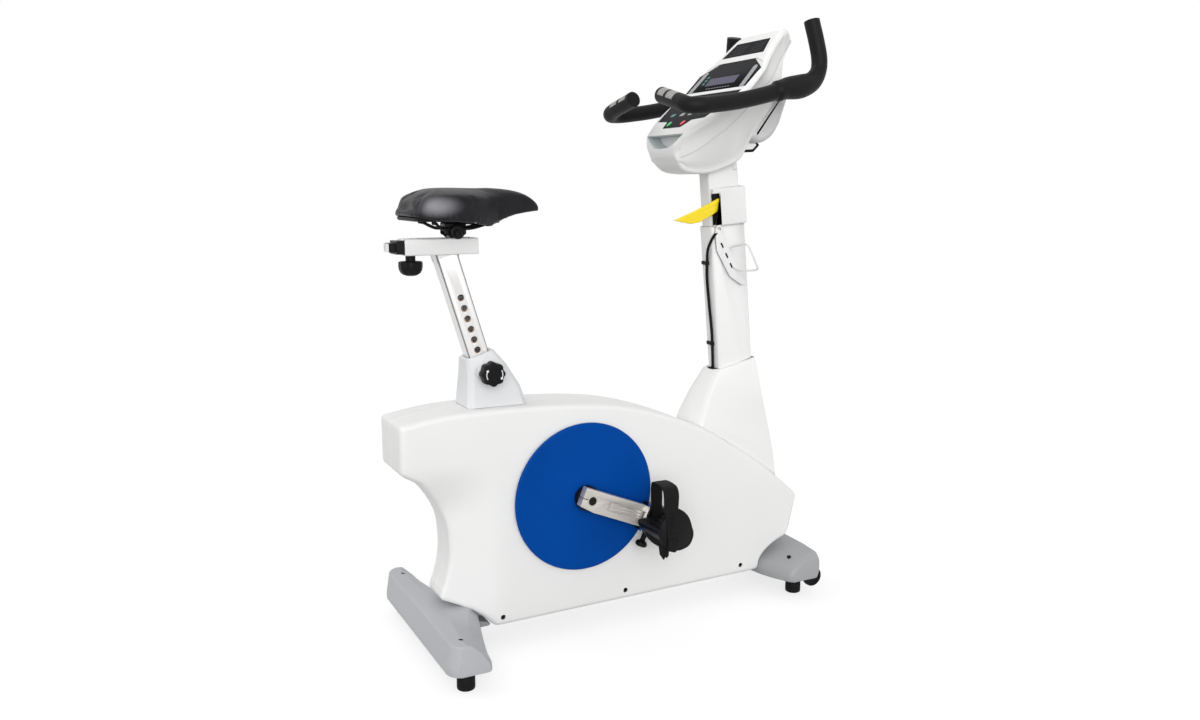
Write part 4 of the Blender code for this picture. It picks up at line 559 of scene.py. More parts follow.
for k, s in enumerate(cable["clips"]):
    # a saddle clip: an arch over the cable and a tab screwed to the mast
    y = float(np.interp(s, [point[2] for point in cableRoute[::-1]], [point[1] for point in cableRoute[::-1]]))
    arch = cable["radius"] + cable["clipWall"]
    face = cable["mastFace"]
    turn = np.linspace(0, math.pi, 14)
    outer = np.stack([y + arch * np.cos(turn), -cable["halfDepth"] - 0.0036 - arch * np.sin(turn)], -1)
    clipPart("cable_clip_%d" % k, np.concatenate([[(y + arch, face)], outer, [(y - arch, face)]]),
             (s - 0.0042, s - 0.0036, s + 0.0036, s + 0.0042), angle=40)
    start = y + arch - 0.001
    clipPart("cable_clip_tab_%d" % k, [(start, face), (start + 0.02, face), (start + 0.021, -0.052),
                                       (start + 0.02, -0.0545), (start, -0.0545)],
             (s - 0.0042, s + 0.0042), smooth=False)
print("camera and cable made")


# Drive housing: the outline carried across, its long edges rolled over
housing = {"halfWidth": 0.078, "edgeDepth": 0.014, "edgeInset": 0.012, "wall": 0.003, "screwHole": 0.006,
           "screws": [(-0.205, 0.073), (0.112, 0.078), (0.448, 0.082)], "screwFace": 0.0705,
           "waist": 0.4, "waistStart": -0.205, "waistReach": 0.125, "waistTop": 0.445, "waistFade": 0.125}
topCurve = smoothLine([
    (-0.43, 0.539), (-0.3, 0.555), (-0.09, 0.553), (0.11, 0.531), (0.292, 0.472), (0.415, 0.404),
    (0.52, 0.333), (0.624, 0.247)], 12)
archCurve = smoothLine([(0.594, 0.138), (0.557, 0.1235), (0.527, 0.104), (0.511, 0.083), (0.507, 0.06)], 8)
rearCurve = smoothLine([
    (-0.303, 0.11), (-0.341, 0.128), (-0.33, 0.163), (-0.3185, 0.21), (-0.317, 0.258), (-0.324, 0.308),
    (-0.348, 0.357), (-0.386, 0.405)], 8)[8:]
housingLine = np.concatenate([topCurve, [(0.604, 0.16)], archCurve,
                              [(0.48, 0.058), (-0.222, 0.052), (-0.245, 0.076), (-0.27, 0.095), (-0.303, 0.11)],
                              rearCurve, [(-0.43, 0.432)]])
for corner in ((-0.43, 0.539), (0.624, 0.247), (0.594, 0.138), (0.507, 0.06), (-0.341, 0.128), (-0.43, 0.432)):
    # points close to a sharp corner are dropped, so that the inset line stays whole
    away = np.linalg.norm(housingLine - corner, axis=1)
    housingLine = housingLine[(away > 0.018) | (away < 1e-6)]


def housingRing(depth):
    # the outline drawn in, with its corners rounded less the further it is drawn in
    return softCorners(insetLine(housingLine, depth), max(0.002, 0.01 - depth * 0.6)) + shift


def makeHousing(sign, name):
    # section across: flat side, quarter roll of the edge, crown to the seam, then back inside
    wide = housing["halfWidth"]
    turn = np.linspace(0, math.pi / 2, 9)
    outerY = [0.0003, 0.0015, *(wide - housing["edgeDepth"] * (1 - np.sin(turn)))]
    outerIn = [0.0012, 0.0, *(housing["edgeInset"] * (1 - np.cos(turn)))]
    innerY = [wide - housing["wall"], wide - 0.016, 0.0003]
    innerIn = [housing["edgeInset"], 0.004, 0.004]
    grid = np.stack([flatAt(housingRing(depth), sign * y)
                     for y, depth in zip(outerY + innerY, outerIn + innerIn)])
    rows, cols = grid.shape[:2]
    flat = len(outerY) - 1
    faces = [f for f in gridFaces(rows, cols, True)
             if not (min(f) // cols == flat and max(f) // cols == flat + 1)]
    faces += [list(range(row * cols, (row + 1) * cols)) for row in (flat, flat + 1)]
    piece = solid(name, grid, faces, None)
    ends = sorted((sign * 0.05, sign * 0.1))
    cutters = [rodRoom(0, crankCentre[2], 0.026, *ends)]
    cutters += [rodRoom(x, z, housing["screwHole"], *ends, 24) for x, z in housing["screws"]]
    for foot, up, low, high, halfDepth, halfWidth in (
            (postFoot, postUp, -0.22, 0.03, 0.0315, 0.0265), (mastFoot, mastUp, -0.53, -0.08, 0.0405, 0.0205)):
        corners = np.array([(-halfDepth, low), (halfDepth, low), (halfDepth, high), (-halfDepth, high)])
        line = foot[[0, 2]] + corners[:, :1] * (up[2], -up[0]) + corners[:, 1:] * up[[0, 2]]
        cutters.append(room(line, -halfWidth, halfWidth))
    line = [(-0.347, rail["low"]), (0.588, rail["low"]), (0.588, rail["high"]), (-0.347, rail["high"])]
    cutters.append(room(np.array(line) + shift, -rail["half"], rail["half"]))
    carved(piece, *cutters)
    with edited(piece.data) as work:
        # extra cuts behind the crank let the flat side bend in towards the rear arch
        for x in np.arange(-0.4, -0.185, 0.0125):
            bmesh.ops.bisect_plane(work, geom=work.verts[:] + work.edges[:] + work.faces[:], dist=1e-6,
                                   plane_co=(x + shiftX, 0, 0), plane_no=(1, 0, 0))
        rear = [f for f in work.faces if f.calc_center_median().x < -0.18 + shiftX]
        geom = set(rear) | {e for f in rear for e in f.edges} | {v for f in rear for v in f.verts}
        for z in np.arange(0.075, 0.455, 0.0125):
            geom = set(bmesh.ops.bisect_plane(work, geom=list(geom), dist=1e-6, plane_co=(0, 0, z),
                                              plane_no=(0, 0, 1))["geom"])
    place = pointsOf(piece.data)
    back = np.clip((housing["waistStart"] + shiftX - place[:, 0]) / housing["waistReach"], 0, 1)
    low = np.clip((housing["waistTop"] - place[:, 2]) / housing["waistFade"], 0, 1)
    place[:, 1] *= 1 - housing["waist"] * eased(back) * eased(low)
    movePoints(piece.data, place)
    return shaded(piece, 28)


for side, sign in handed:
    dress(makeHousing(sign, side + "_housing_shell"), "white_plastic", "frame", side + "_housing")
    for k, (x, z) in enumerate(housing["screws"]):
        # a sunk screw at the bottom of each hole
        face = housing["screwFace"]
        head = [(0.0012, face), (0.004, face), (0.0046, face - 0.0006), (0.0046, face - 0.003)]
        ringPiece("%s_screw_%d" % (side, k), head, (x + shiftX, 0, z), 24, "black_metal", "frame", sign=sign,
                  angle=40)
print("housing made")


# Crank discs with a soft rolled rim and a shallow turned step
disc = {"radius": 0.175, "back": 0.082, "face": 0.088, "bore": 0.0203, "roll": 0.004, "rim": 0.008,
        "step": 0.034, "sink": 0.0006}
radius, face = disc["radius"], disc["face"]
discProfile = [(disc["bore"], disc["back"]), (radius - 0.001, disc["back"])]
discProfile += [(radius - disc["roll"] * (1 - math.cos(a)), face - disc["roll"] * (1 - math.sin(a)))
                for a in np.linspace(0, math.pi / 2, 5)]
discProfile += [(radius - disc["rim"], face), (disc["step"], face),
                (disc["step"] - 0.0005, face - disc["sink"]), (disc["bore"], face - disc["sink"])]
for side, sign in handed:
    ringPiece(side + "_disc", discProfile, crankCentre, 160, "blue_plastic", "crank", side + "_crank_disc",
              sign=sign, wrapRows=True, angle=40)
print("discs made")


# Pieces whose CAD shape only needs its edges softened
refine("seat_boot", 0.0022, 3, mouldedPlastic("pale boot plastic", (0.74, 0.745, 0.755), 0.42))
refine("mast_boot", 0.003, 3)
for nodeName, width in (
        ("lower_mast", 0.0016), ("mast_lever", 0.001), ("right_pedal_carriage", 0.0008),
        ("left_pedal_carriage", 0.0008), ("slider_housing", 0.001), ("saddle_clamp", 0.0012),
        ("start_button", 0.0004), ("stop_button", 0.0004)):
    refine(nodeName, width)
print("edges softened")


# Beam covers: closed sections across x and z carried along y
coverFacts = {"rearEnd": 0.2512, "frontEnd": 0.1671, "roll": 0.0025}


def coverCorner(y, end, radius):
    # how far a rounded vertical corner has drawn back at y
    past = np.clip((y - (end - radius)) / radius, 0, 1)
    return radius * (1 - np.sqrt(np.maximum(0, 1 - past ** 2)))


def rearSection(y):
    # a straight back with a ridge, and a top that falls forward to a low edge bowed towards the housing;
    # over the rail it stays level
    back = -0.3905 + coverCorner(y, coverFacts["rearEnd"], 0.034)
    front = np.interp(y, [0, 0.05, 0.1, 0.15, 0.2, 0.2512], [-0.252, -0.256, -0.266, -0.279, -0.291, -0.299])
    front = front - coverCorner(y, coverFacts["rearEnd"], 0.012)
    level = eased(np.clip((0.115 - y) / 0.08, 0, 1))
    reach = 0.27 - 0.13 * level
    shape = [(back, 0.04), (back - 0.0008, 0.056), (back + 0.0075, 0.1068),
             (0.6 * back + 0.4 * front, 0.1056 + 0.0006 * level),
             (reach * back + (1 - reach) * front, 0.085 + 0.019 * level), (front, 0.06 + 0.022 * level),
             (front + 0.0015, 0.04)]
    return softCorners(shape, 0.0035, 5)


def frontSection(y):
    # a top that rises to a crest at the very front and ends narrower and lower at the sides
    back = np.interp(y, [0, 0.04, 0.08, 0.12, 0.14, 0.1671], [0.499, 0.501, 0.508, 0.522, 0.532, 0.545])
    back = back + coverCorner(y, coverFacts["frontEnd"], 0.012)
    drop = np.interp(y, [0, 0.1, 0.148, 0.1495, 0.1671], [0, 0.003, 0.008, 0.0092, 0.018])
    front = 0.6418 - coverCorner(y, coverFacts["frontEnd"], 0.02)
    shape = [(back, 0.046), (back + 0.001, 0.064), (back + 0.012, 0.085 - drop * 0.3),
             (0.6 * back + 0.4 * front, 0.106 - drop * 0.6), (0.3 * back + 0.7 * front, 0.1165 - drop),
             (front - 0.01, 0.1205 - drop), (front - 0.0005, 0.103 - drop), (front, 0.08 - drop),
             (front - 0.006, 0.046)]
    return softCorners(shape, 0.006, 5)


def coverShell(name, section, end):
    # the section from the middle to the end and its mirror, with the end's edge rolled over
    roll = coverFacts["roll"]
    places = np.concatenate([np.linspace(0, end - 0.04, 16), np.linspace(end - 0.036, end - roll, 14)])
    half = [(y, section(y)) for y in places]
    last = half[-1][1]
    half += [(end - roll + roll * math.sin(a), insetLine(last, roll * (1 - math.cos(a))))
             for a in np.linspace(0, math.pi / 2, 5)[1:]]
    rows = [(-y, ring) for y, ring in half[:0:-1]] + half
    return surface(name, np.stack([flatAt(ring + shift, y) for y, ring in rows]), angle=32)


rearFinish = mouldedPlastic("rear cover plastic", (0.47, 0.475, 0.5), 0.44)
# painted shade: the front cover takes a darker copy of the same cover plastic
frontShadeFinish = mouldedPlastic("front cover plastic", (0.37, 0.375, 0.385), 0.44)
# the hidden beams are eased where the covers draw in
rearEase = np.array([
    (-0.352, 0.101), (-0.34, 0.093), (-0.325, 0.0835), (-0.313, 0.0735), (-0.303, 0.06), (-0.299, 0.0395),
    (-0.2, 0.0395), (-0.2, 0.14), (-0.352, 0.14)]) + shift
refine("main_frame", 0.001, rooms=[plate("room", rearEase, *sorted((sign * 0.06, sign * 0.26)), 0.0001, 0.0001)
                                    for sign in (-1, 1)])
screwCup = [
    (0.0001, -0.01), (0.0051, -0.01), (0.0051, -0.0016), (0.0045, -0.0016), (0.0045, -0.0082),
    (0.0001, -0.0082)]
for place, section, finish, spot, tilt, railSpan in (
        ("rear", rearSection, rearFinish, (-0.3525, 0.208, 0.1058), 0.1, (-0.348, -0.2, rail["low"])),
        ("front", frontSection, frontShadeFinish, (0.564, 0.126, 0.103), -0.2, (0.47, 0.589, 0.02))):
    name = place + "_beam_cover"
    rooms = []
    for side in ("right", "left"):
        foot = np.mean(np.array(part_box("%s_%s_foot" % (place, side))), axis=0)
        rooms.append(turned("room", [(0.008, -0.03), (0.008, 0.04)], (foot[0], foot[1], 0.05), (0, 0, 1), 24))
    for side, sign in handed:
        hole = (spot[0] + shiftX, sign * spot[1], spot[2])
        rooms.append(turned("room", [(0.0052, -0.02), (0.0052, 0.02)], hole, (tilt, 0, 1), 32))
        dress(turned("%s_screw_%s" % (name, side), screwCup, hole, (tilt, 0, 1), 32), "black_metal", "frame")
    start, end, low = railSpan
    rooms.append(block("room", (start, -rail["half"], low), (end, rail["half"], rail["high"]), 0.0001))
    if place == "front":
        rooms += [rodRoom(0.624, 0.045, 0.0285, *sorted((sign * 0.134, sign * 0.1575))) for sign in (-1, 1)]
    shell = shaded(carved(coverShell(name + "_shell", section, coverFacts[place + "End"]), *rooms), 32)
    dress(shell, "pale_grey_plastic", "frame", name, finish=finish)
# the rail bridge takes the front cover's darker copy of the plastic: painted shade
bridge = [(-0.262, 0.058), (-0.244, 0.056), (-0.224, 0.05), (-0.221, 0.0455), (-0.226, 0.042), (-0.262, 0.042)]
dress(plate("rail_bridge", np.array(bridge) + shift, -0.04, 0.04, 0.0015), "pale_grey_plastic", "frame",
      finish=frontShadeFinish)
print("covers made")


# Crank arms: the hub end is cut back from the boss, and the groove runs in gently with fine flutes
armFacts = {"hubEnd": 0.0255, "rampStart": 0.052, "rampEnd": 0.14, "depth": 0.0072, "half": 0.01,
            "face": 0.1236, "floor": 0.114, "lip": (0.1456, 0.1474)}


def armLine(sign, points):
    # points of x and z at a distance from the crank axle towards the pedal, and across the arm
    points = np.asarray(points, float)
    reach = -sign * np.array([math.cos(armTurn), -math.sin(armTurn)])
    side = -sign * np.array([math.sin(armTurn), math.cos(armTurn)])
    return crankCentre[[0, 2]] + points[..., :1] * reach + points[..., 1:] * side


def armBlock(name, sign, start, end, half, low, high, ease):
    # a block across the arm, between two distances from the axle
    line = armLine(sign, [(start, -half), (end, -half), (end, half), (start, half)])
    return plate(name, line, sign * low, sign * high, ease, ease)


for side, sign in handed:
    hubRoom = armBlock("room", sign, -0.06, -armFacts["hubEnd"], 0.04, 0.09, 0.13, 0.0001)
    refine(side + "_crank_arm", 0.0007, rooms=(hubRoom,))
    dress(armBlock(side + "_carriage_lip", sign, *armFacts["lip"], 0.034, 0.1243, 0.1346, 0.0003),
          "bright_steel", bodyOf(side + "_pedal_carriage"))
    along = np.linspace(armFacts["rampStart"], armFacts["rampEnd"], 30)
    height = np.linspace(-armFacts["half"], armFacts["half"], 61)
    fall = np.linspace(0, 1, 30) ** 1.3 * armFacts["depth"]
    share = height / armFacts["half"]
    flute = np.abs(np.sin(share * math.pi * 1.5)) ** 4 * (1 - share ** 8)
    top = armFacts["face"] - fall[:, None] * (0.55 + 0.45 * (1 - flute[None]))
    points = armLine(sign, np.stack(np.meshgrid(along, height, indexing="ij"), -1))
    face, floor = (np.stack([points[..., 0], sign * y, points[..., 1]], -1)
                   for y in (top, np.full_like(top, armFacts["floor"])))
    dress(surface(side + "_arm_flutes", np.concatenate([face, floor[:, ::-1]], axis=1), angle=40),
          "milled_alloy", "crank")
print("arms made")


# Collar without its far lip, with a black strip of painted shade in its recess, and a bottle plate on a black
# pad that shows as painted shade through its slots, with a wire hoop
def mastLine(*points):
    # points forward and up along the mast as x and z
    return np.stack([onMast(t, 0, s)[[0, 2]] for t, s in points])


rooms = [plate("room", mastLine((-0.075, 0.3), (reach, 0.3), (reach, 0.48), (-0.075, 0.48)), -side, 0.045,
               0.0001, 0.0001) for reach, side in ((-0.045, 0.045), (-0.0262, 0.0272))]
refine("mast_collar", 0.001, rooms=rooms)
# painted shade: a thin black strip on the mast's side stands for the shade in the collar's open recess
recessShade = mastLine((-0.045, 0.35), (-0.02, 0.35), (-0.02, 0.4285), (-0.045, 0.4285))
dress(plate("collar_wear_strip", recessShade, -0.0271, -0.0276, 0.0001, 0.001), "black_rubber", "frame")

holder = {"face": -0.0356, "back": -0.0331, "pad": -0.0274, "slotHalf": (0.0026, 0.0075), "hoop": 0.0024,
          "slots": [(0.401, 0.896), (0.415, 0.871), (0.429, 0.846)]}
holderLine = np.array([
    (0.38, 0.929), (0.386, 0.937), (0.402, 0.928), (0.424, 0.884), (0.452, 0.838), (0.474, 0.801),
    (0.462, 0.797), (0.426, 0.819), (0.386, 0.884)]) + shift
across, along = np.array([(0.866, 0.5), (-0.5, 0.866)]) * np.reshape(holder["slotHalf"], (2, 1))
slotCorners = np.array([-across - along, across - along, across + along, along - across])
rooms = [plate("room", slotCorners + centre + shift, -0.03, -0.04, 0.0001, 0.002) for centre in holder["slots"]]
bottlePlate = plate("bottle_plate", holderLine, holder["back"], holder["face"], 0.0006, 0.004)
dress(shaded(carved(bottlePlate, *rooms), 35), "white_paint", "frame", "holder_plate")
# a black pad behind the plate, set in from its edge; through the slots it shows as painted shade
dress(plate("bottle_plate_pad", insetLine(softCorners(holderLine, 0.004, 4), 0.003), holder["pad"], -0.033,
            0.0004, 0.0001), "black_rubber", "frame")
hoopLine = smoothLine(np.array([
    (0.426, -0.035, 0.89), (0.427, -0.042, 0.8925), (0.4295, -0.065, 0.8975), (0.4315, -0.088, 0.901),
    (0.434, -0.0965, 0.8985), (0.438, -0.0985, 0.8905), (0.46, -0.0985, 0.85), (0.464, -0.0965, 0.842),
    (0.462, -0.088, 0.8375), (0.45, -0.064, 0.8355), (0.44, -0.044, 0.8385),
    (0.4375, -0.035, 0.841)]) + (shiftX, 0, 0), 6)
dress(surface("bottle_hoop", tubeGrid(hoopLine, holder["hoop"], 12, (0.6, 0.1, 0.35))), "white_paint", "frame",
      "holder_hoop")
eyelet = circleLine(20) * 0.0022 + (0.0078, 0)
ringPiece("cable_eyelet", eyelet, onMast(-0.033, -0.034, 0.342), 40, "white_paint", "frame", wrapRows=True)
print("collar and holder made")


# Console: two moulded shells that meet in a seam along the cheeks
consoleSize = {"edge": 0.012, "backEdge": 0.01, "cheekDepth": 0.07, "keel": 0.46, "keelStart": 0.055,
               "keelReach": 0.095, "keelTop": 0.26, "keelFade": 0.16, "count": 130}
faceWidths = smoothLine([
    (-0.09, 0.05), (-0.067, 0.06), (-0.052, 0.071), (-0.03, 0.085), (0.0, 0.102), (0.06, 0.139),
    (0.13, 0.152), (0.21, 0.146), (0.26, 0.118), (0.34, 0.096)], 6)
cheekWidths = smoothLine([
    (-0.09, 0.048), (-0.067, 0.057), (-0.03, 0.076), (0.03, 0.096), (0.07, 0.108), (0.22, 0.107),
    (0.3, 0.079), (0.35, 0.07)], 6)
faceFoot = np.array([0.272, 1.174])
faceBend = np.array([0.389, 1.263])
faceTop = np.array([0.512, 1.394])
seamLine = smoothLine([
    (0.562, 1.38), (0.558, 1.374), (0.478, 1.284), (0.417, 1.22), (0.366, 1.178), (0.303, 1.128),
    (0.262, 1.104), (0.2535, 1.0985)], 8)
chin = smoothLine([(0.2535, 1.0985), (0.247, 1.109), (0.243, 1.13), (0.2515, 1.155), (0.272, 1.174)], 8)
crest = smoothLine([(0.512, 1.394), (0.528, 1.405), (0.548, 1.407), (0.561, 1.394), (0.562, 1.38)], 8)
faceLine = np.concatenate([chin, softCorners([faceFoot, faceBend, faceTop], 0.02, 9)[9:18], crest])
backLine = smoothLine([
    (0.2535, 1.0985), (0.264, 1.0845), (0.285, 1.0715), (0.33, 1.067), (0.372, 1.073), (0.43, 1.098),
    (0.455, 1.132), (0.486, 1.195), (0.512, 1.262), (0.541, 1.334), (0.562, 1.38)], 8)


def consoleHalfWidth(line):
    # the face's own width at its edge, drawn in towards the cheek's width at the seam,
    # and again to a keel behind
    away = line - faceFoot
    along = away[:, 0] * 0.69 + away[:, 1] * 0.72
    depth = away[:, 0] * 0.72 - away[:, 1] * 0.69
    wide = np.interp(along, *faceWidths.T)
    narrow = np.interp(along, *cheekWidths.T)
    deep = np.clip((depth - consoleSize["keelStart"]) / consoleSize["keelReach"], 0, 1)
    high = np.clip((consoleSize["keelTop"] - along) / consoleSize["keelFade"], 0, 1)
    keel = 1 - consoleSize["keel"] * eased(deep) * eased(high)
    return (narrow + (wide - narrow) * np.clip(1 - depth / consoleSize["cheekDepth"], 0, 1)) * keel


def consoleShell(name, outer, edge):
    # each ring is the outer line and the seam; the outer line rolls over towards the cheeks,
    # and the cheeks close between the two lines
    outer, seam = (evenLine(line, consoleSize["count"]) for line in (outer, seamLine))
    line = np.concatenate([outer, seam])
    half = consoleHalfWidth(line)
    ends = [np.clip(np.linalg.norm(line - end, axis=1) / 0.02, 0, 1) for end in (outer[-1], outer[0])]
    share = np.repeat([1.0, 0.0], consoleSize["count"]) * np.minimum(*ends)
    rings = [(insetLine(line, share * edge * (1 - math.cos(turn))), half - edge * (1 - math.sin(turn)))
             for turn in np.linspace(math.pi / 2, 0, 8)]
    middle = (line + line[::-1]) / 2
    middleHalf = (half + half[::-1]) / 2
    first, firstHalf = rings[0]
    rings = [(middle + (first - middle) * w, middleHalf + (firstHalf - middleHalf) * w)
             for w in (0.0, 0.35, 0.7)] + rings
    rows = [(ring, -half) for ring, half in rings] + rings[::-1]
    grid = np.stack([np.stack([ring[:, 0] + shiftX, half, ring[:, 1]], -1) for ring, half in rows])
    return surface(name, grid, caps=False, angle=50)


def onFace(upper, along, across, lift):
    # a point of the lower or upper face plane, lift above it
    start, end = (faceBend, faceTop) if upper else (faceFoot, faceBend)
    slope = math.atan2(*(end - start)[::-1])
    along, across, lift = np.broadcast_arrays(along, across, lift)
    x = start[0] + shiftX + along * math.cos(slope) - lift * math.sin(slope)
    z = start[1] + along * math.sin(slope) + lift * math.cos(slope)
    return np.stack([x, across, z], -1)


def faceRoom(upper, outline, low):
    # a block to cut with, from below the face to above it
    return surface("room", np.stack([onFace(upper, *outline.T, lift) for lift in (low, 0.02)]), smooth=False)


def bothSides(half):
    # an outline from its left half, mirrored to the right
    half = np.asarray(half, float)
    return np.concatenate([half * [1, -1], half[::-1]])


def trayLips(half, low, rise, high):
    # a smile: a straight upper lip and a lower lip that rises to both ends
    across = np.linspace(-half, half, 33)
    lower = np.stack([across, low + rise * np.abs(across / half) ** 3.2], -1)
    return np.concatenate([lower, np.stack([across[::-1], np.full(33, high)], -1)])


def trayRings(lips, rows):
    # the lips carried back to each x, smaller about the tray's middle and drawn in
    rings = []
    for x, small, drawn in rows:
        ring = insetLine(np.stack([lips[:, 0] * small, 1.143 + (lips[:, 1] - 1.143) * small], -1), drawn)
        rings.append(np.stack([np.full(len(ring), x + shiftX), *ring.T], -1))
    return np.stack(rings)


faceShell = consoleShell("console_face_shell", faceLine, consoleSize["edge"])
backShell = consoleShell("console_back_shell", backLine, consoleSize["backEdge"])
trayRows = ((0.2, 1.0, 0), (0.24, 1.0, 0), (0.262, 0.97, 0), (0.278, 0.9, 0), (0.2815, 0.84, 0))
screenOutline = bothSides([(0.0037, 0.1293), (0.07, 0.1293), (0.086, 0.118), (0.1023, 0.08)])
faceRooms = [surface("room", trayRings(trayLips(0.083, 1.1255, 0.0305, 1.158), trayRows)),
             faceRoom(True, screenOutline, -0.0022)]
faceRooms += [faceRoom(False, circleLine(32) * (0.0093, 0.0058) + (0.018, across), -0.0078)
              for across in (-0.03, 0.03)]
dress(shaded(carved(faceShell, *faceRooms), 32), "white_plastic", "mast_top", "console_face")

# the tray has a grey liner: a thin bowl inside the recess
linerRows = ((0.2545, 0.975, 0.0), (0.262, 0.965, 0.0), (0.277, 0.895, 0.0), (0.2806, 0.835, 0.0),
             (0.2798, 0.835, 0.0008), (0.2765, 0.887, 0.0012), (0.2618, 0.956, 0.0012), (0.2545, 0.966, 0.0012))
liner = surface("tray_liner", trayRings(trayLips(0.081, 1.1262, 0.03, 1.1573), linerRows), wrapRows=True,
                angle=40)
dress(liner, "pale_grey_plastic", "mast_top", finish=mouldedPlastic("tray liner", (0.52, 0.575, 0.58), 0.5))
dress(backShell, "white_plastic", "mast_top", "console_back")

# a thin dark joint runs along the cheeks where the shells meet
joint = evenLine(seamLine, consoleSize["count"])
for side, sign in handed:
    line = np.stack([joint[:, 0] + shiftX, sign * (consoleHalfWidth(joint) - 0.0001), joint[:, 1]], -1)[3:-3]
    dress(surface(side + "_console_joint", tubeGrid(line, 0.0009, 8, (0.0, 1.0, 0.0))), "pale_grey_plastic",
          "mast_top")
podLine = smoothLine([
    (0.461, 1.16), (0.476, 1.147), (0.496, 1.143), (0.524, 1.158), (0.545, 1.186), (0.558, 1.219),
    (0.569, 1.25), (0.5705, 1.268), (0.562, 1.279), (0.54, 1.276), (0.505, 1.24),
    (0.48, 1.2)], 5, True) + shift
dress(pillow("console_pod", podLine, 0.064, 0.016), "white_plastic", "mast_top",
      finish=mouldedPlastic("pod plastic", (0.66, 0.665, 0.66), 0.42))
# the neck ends at the shell; its hidden shoulder is trimmed behind the stay
shoulder = np.array([
    (0.4535, 1.04), (0.444, 1.118), (0.46, 1.15), (0.52, 1.3), (0.62, 1.3), (0.62, 1.04)]) + shift
refine("upper_mast", 0.0016, rooms=[plate("room", shoulder, -0.06, 0.06, 0.0001, 0.0001)])
stayLine = np.array([(0.436, 1.119), (0.488, 1.121), (0.506, 1.138), (0.484, 1.16), (0.455, 1.154)]) + shift
dress(plate("console_stay", stayLine, -0.0335, 0.0335, 0.001, 0.003), "black_plastic", "mast_top",
      "console_bracket")
for side, sign in handed:
    dress(plate(side + "_stay_plate", insetLine(stayLine, 0.0068), sign * 0.0336, sign * 0.0348, 0.0005, 0.002),
          "bright_steel", "mast_top")

glossBlack = mouldedPlastic("printed panel", (0.004, 0.0045, 0.0065), 0.42, 0.00001, 0.25, 0.0, 0.03)
keyGrey = mouldedPlastic("grey key film", (0.34, 0.35, 0.355), 0.38, 0.00002, 0.25)
signGreen = mouldedPlastic("green film", (0.0, 0.16, 0.15), 0.35, 0.00001, 0.1)
printGrey = mouldedPlastic("faint print", (0.055, 0.055, 0.057), 0.4, 0.00001, 0.1, 0.0, 0.1)
signPale = mouldedPlastic("pale film", (0.3, 0.31, 0.32), 0.4, 0.00001, 0.1)
windowTone = Finish("display window", (0.07, 0.065, 0.11), 0.3, Specular_IOR_Level=0.08)
dots = windowTone.node("ShaderNodeTexWave", {"bands_direction": "Y"},
                       {"Vector": windowTone.place, "Scale": 160.0})
windowTone.feed("Base Color", windowTone.tint(dots, (0.045, 0.042, 0.075), (0.13, 0.12, 0.19)))
refine("console_screen", 0.0003, 1, glossBlack)


def film(name, upper, outline, low, high, finish, corner, bevel=0.0002):
    # a thin plate on the face, its corners rounded and its upper edge eased
    outline = softCorners(outline, corner)
    rings = [onFace(upper, *line.T, lift) for line, lift in (
        (outline, low), (outline, high - bevel), (insetLine(outline, bevel), high))]
    dress(surface(name, np.stack(rings), angle=40), "screen_plastic", "mast_top", finish=finish)


def strip(a0, a1, c0, c1):
    # the four corners between two distances along the face and two across it
    return [(a0, c0), (a1, c0), (a1, c1), (a0, c1)]


film("label_panel", True, bothSides([(0.121, 0.086), (0.17, 0.068)]), -0.0004, 0.0003, glossBlack, 0.003)
keyPanel = bothSides([(0.001, 0.04), (0.029, 0.055), (0.033, 0.104), (0.1, 0.128), (0.14, 0.128)])
film("key_panel", False, keyPanel, -0.0004, 0.0003, glossBlack, 0.003)
film("display_window", True, strip(0.024, 0.05, -0.062, 0.062), -0.0004, 0.0001, windowTone, 0.002)
keyStrip = np.array([(0.006, 0.101), (0.074, 0.095), (0.078, 0.102), (0.07, 0.113), (0.006, 0.119)])
for side, sign in handed:
    # a pale key strip runs up each outer edge, leaning in at its top
    film(side + "_key_strip", True, (keyStrip * (1, sign))[::sign], -0.0004, 0.0001, keyGrey, 0.002)
    for k in range(5):
        start = 0.011 + k * 0.0115
        mark = strip(start, start + 0.0055, *sorted((sign * (0.107 - 0.0008 * k), sign * (0.114 - 0.001 * k))))
        film("%s_key_mark_%d" % (side, k), True, mark, 0.0, 0.0003, signPale, 0.001)
for k in range(9):
    start = -0.054 + k * 0.0115
    mark = strip(0.0125, 0.0142, start, start + 0.008)
    film("sign_bar_%d" % k, True, mark, -0.0004, 0.0002, signPale, 0.0006)
for k in range(3):
    start = 0.03 + k * 0.011
    film("green_bar_%d" % k, True, strip(start, start + 0.007, 0.072, 0.082), -0.0004, 0.0002, signGreen, 0.001)
for row in range(5):
    # blank lines stand where a label's small print would be
    for k, (start, length) in enumerate(((-0.066, 0.05), (0.006, 0.056))):
        place = 0.128 + row * 0.0072
        line = strip(place, place + 0.0012, start, start + length * (0.82 if row % 2 else 1.0))
        film("label_line_%d_%d" % (row, k), True, line, 0.0, 0.0004, printGrey, 0.0005)
for k, across in enumerate((0.062, 0.02, -0.016, -0.058)):
    film("soft_key_%d" % k, False, strip(0.05, 0.062, across - 0.009, across + 0.009), 0.0, 0.0006,
         keyGrey if k in (1, 2) else signGreen, 0.004)
print("console made")


# Handlebar grips: a rubber sleeve over the bent bar, thicker at the palm
bar = {"pulse": 0.0175, "bar": 0.0185, "palm": 0.027, "horn": 0.018, "side": 0.195, "swell": 0.0048,
       "endRound": 0.004, "groove": 0.0016, "pads": ((0.008, 0.042), (0.048, 0.084)), "padLift": 0.0003,
       "padWall": 0.0007, "padTurn": (8, 172)}
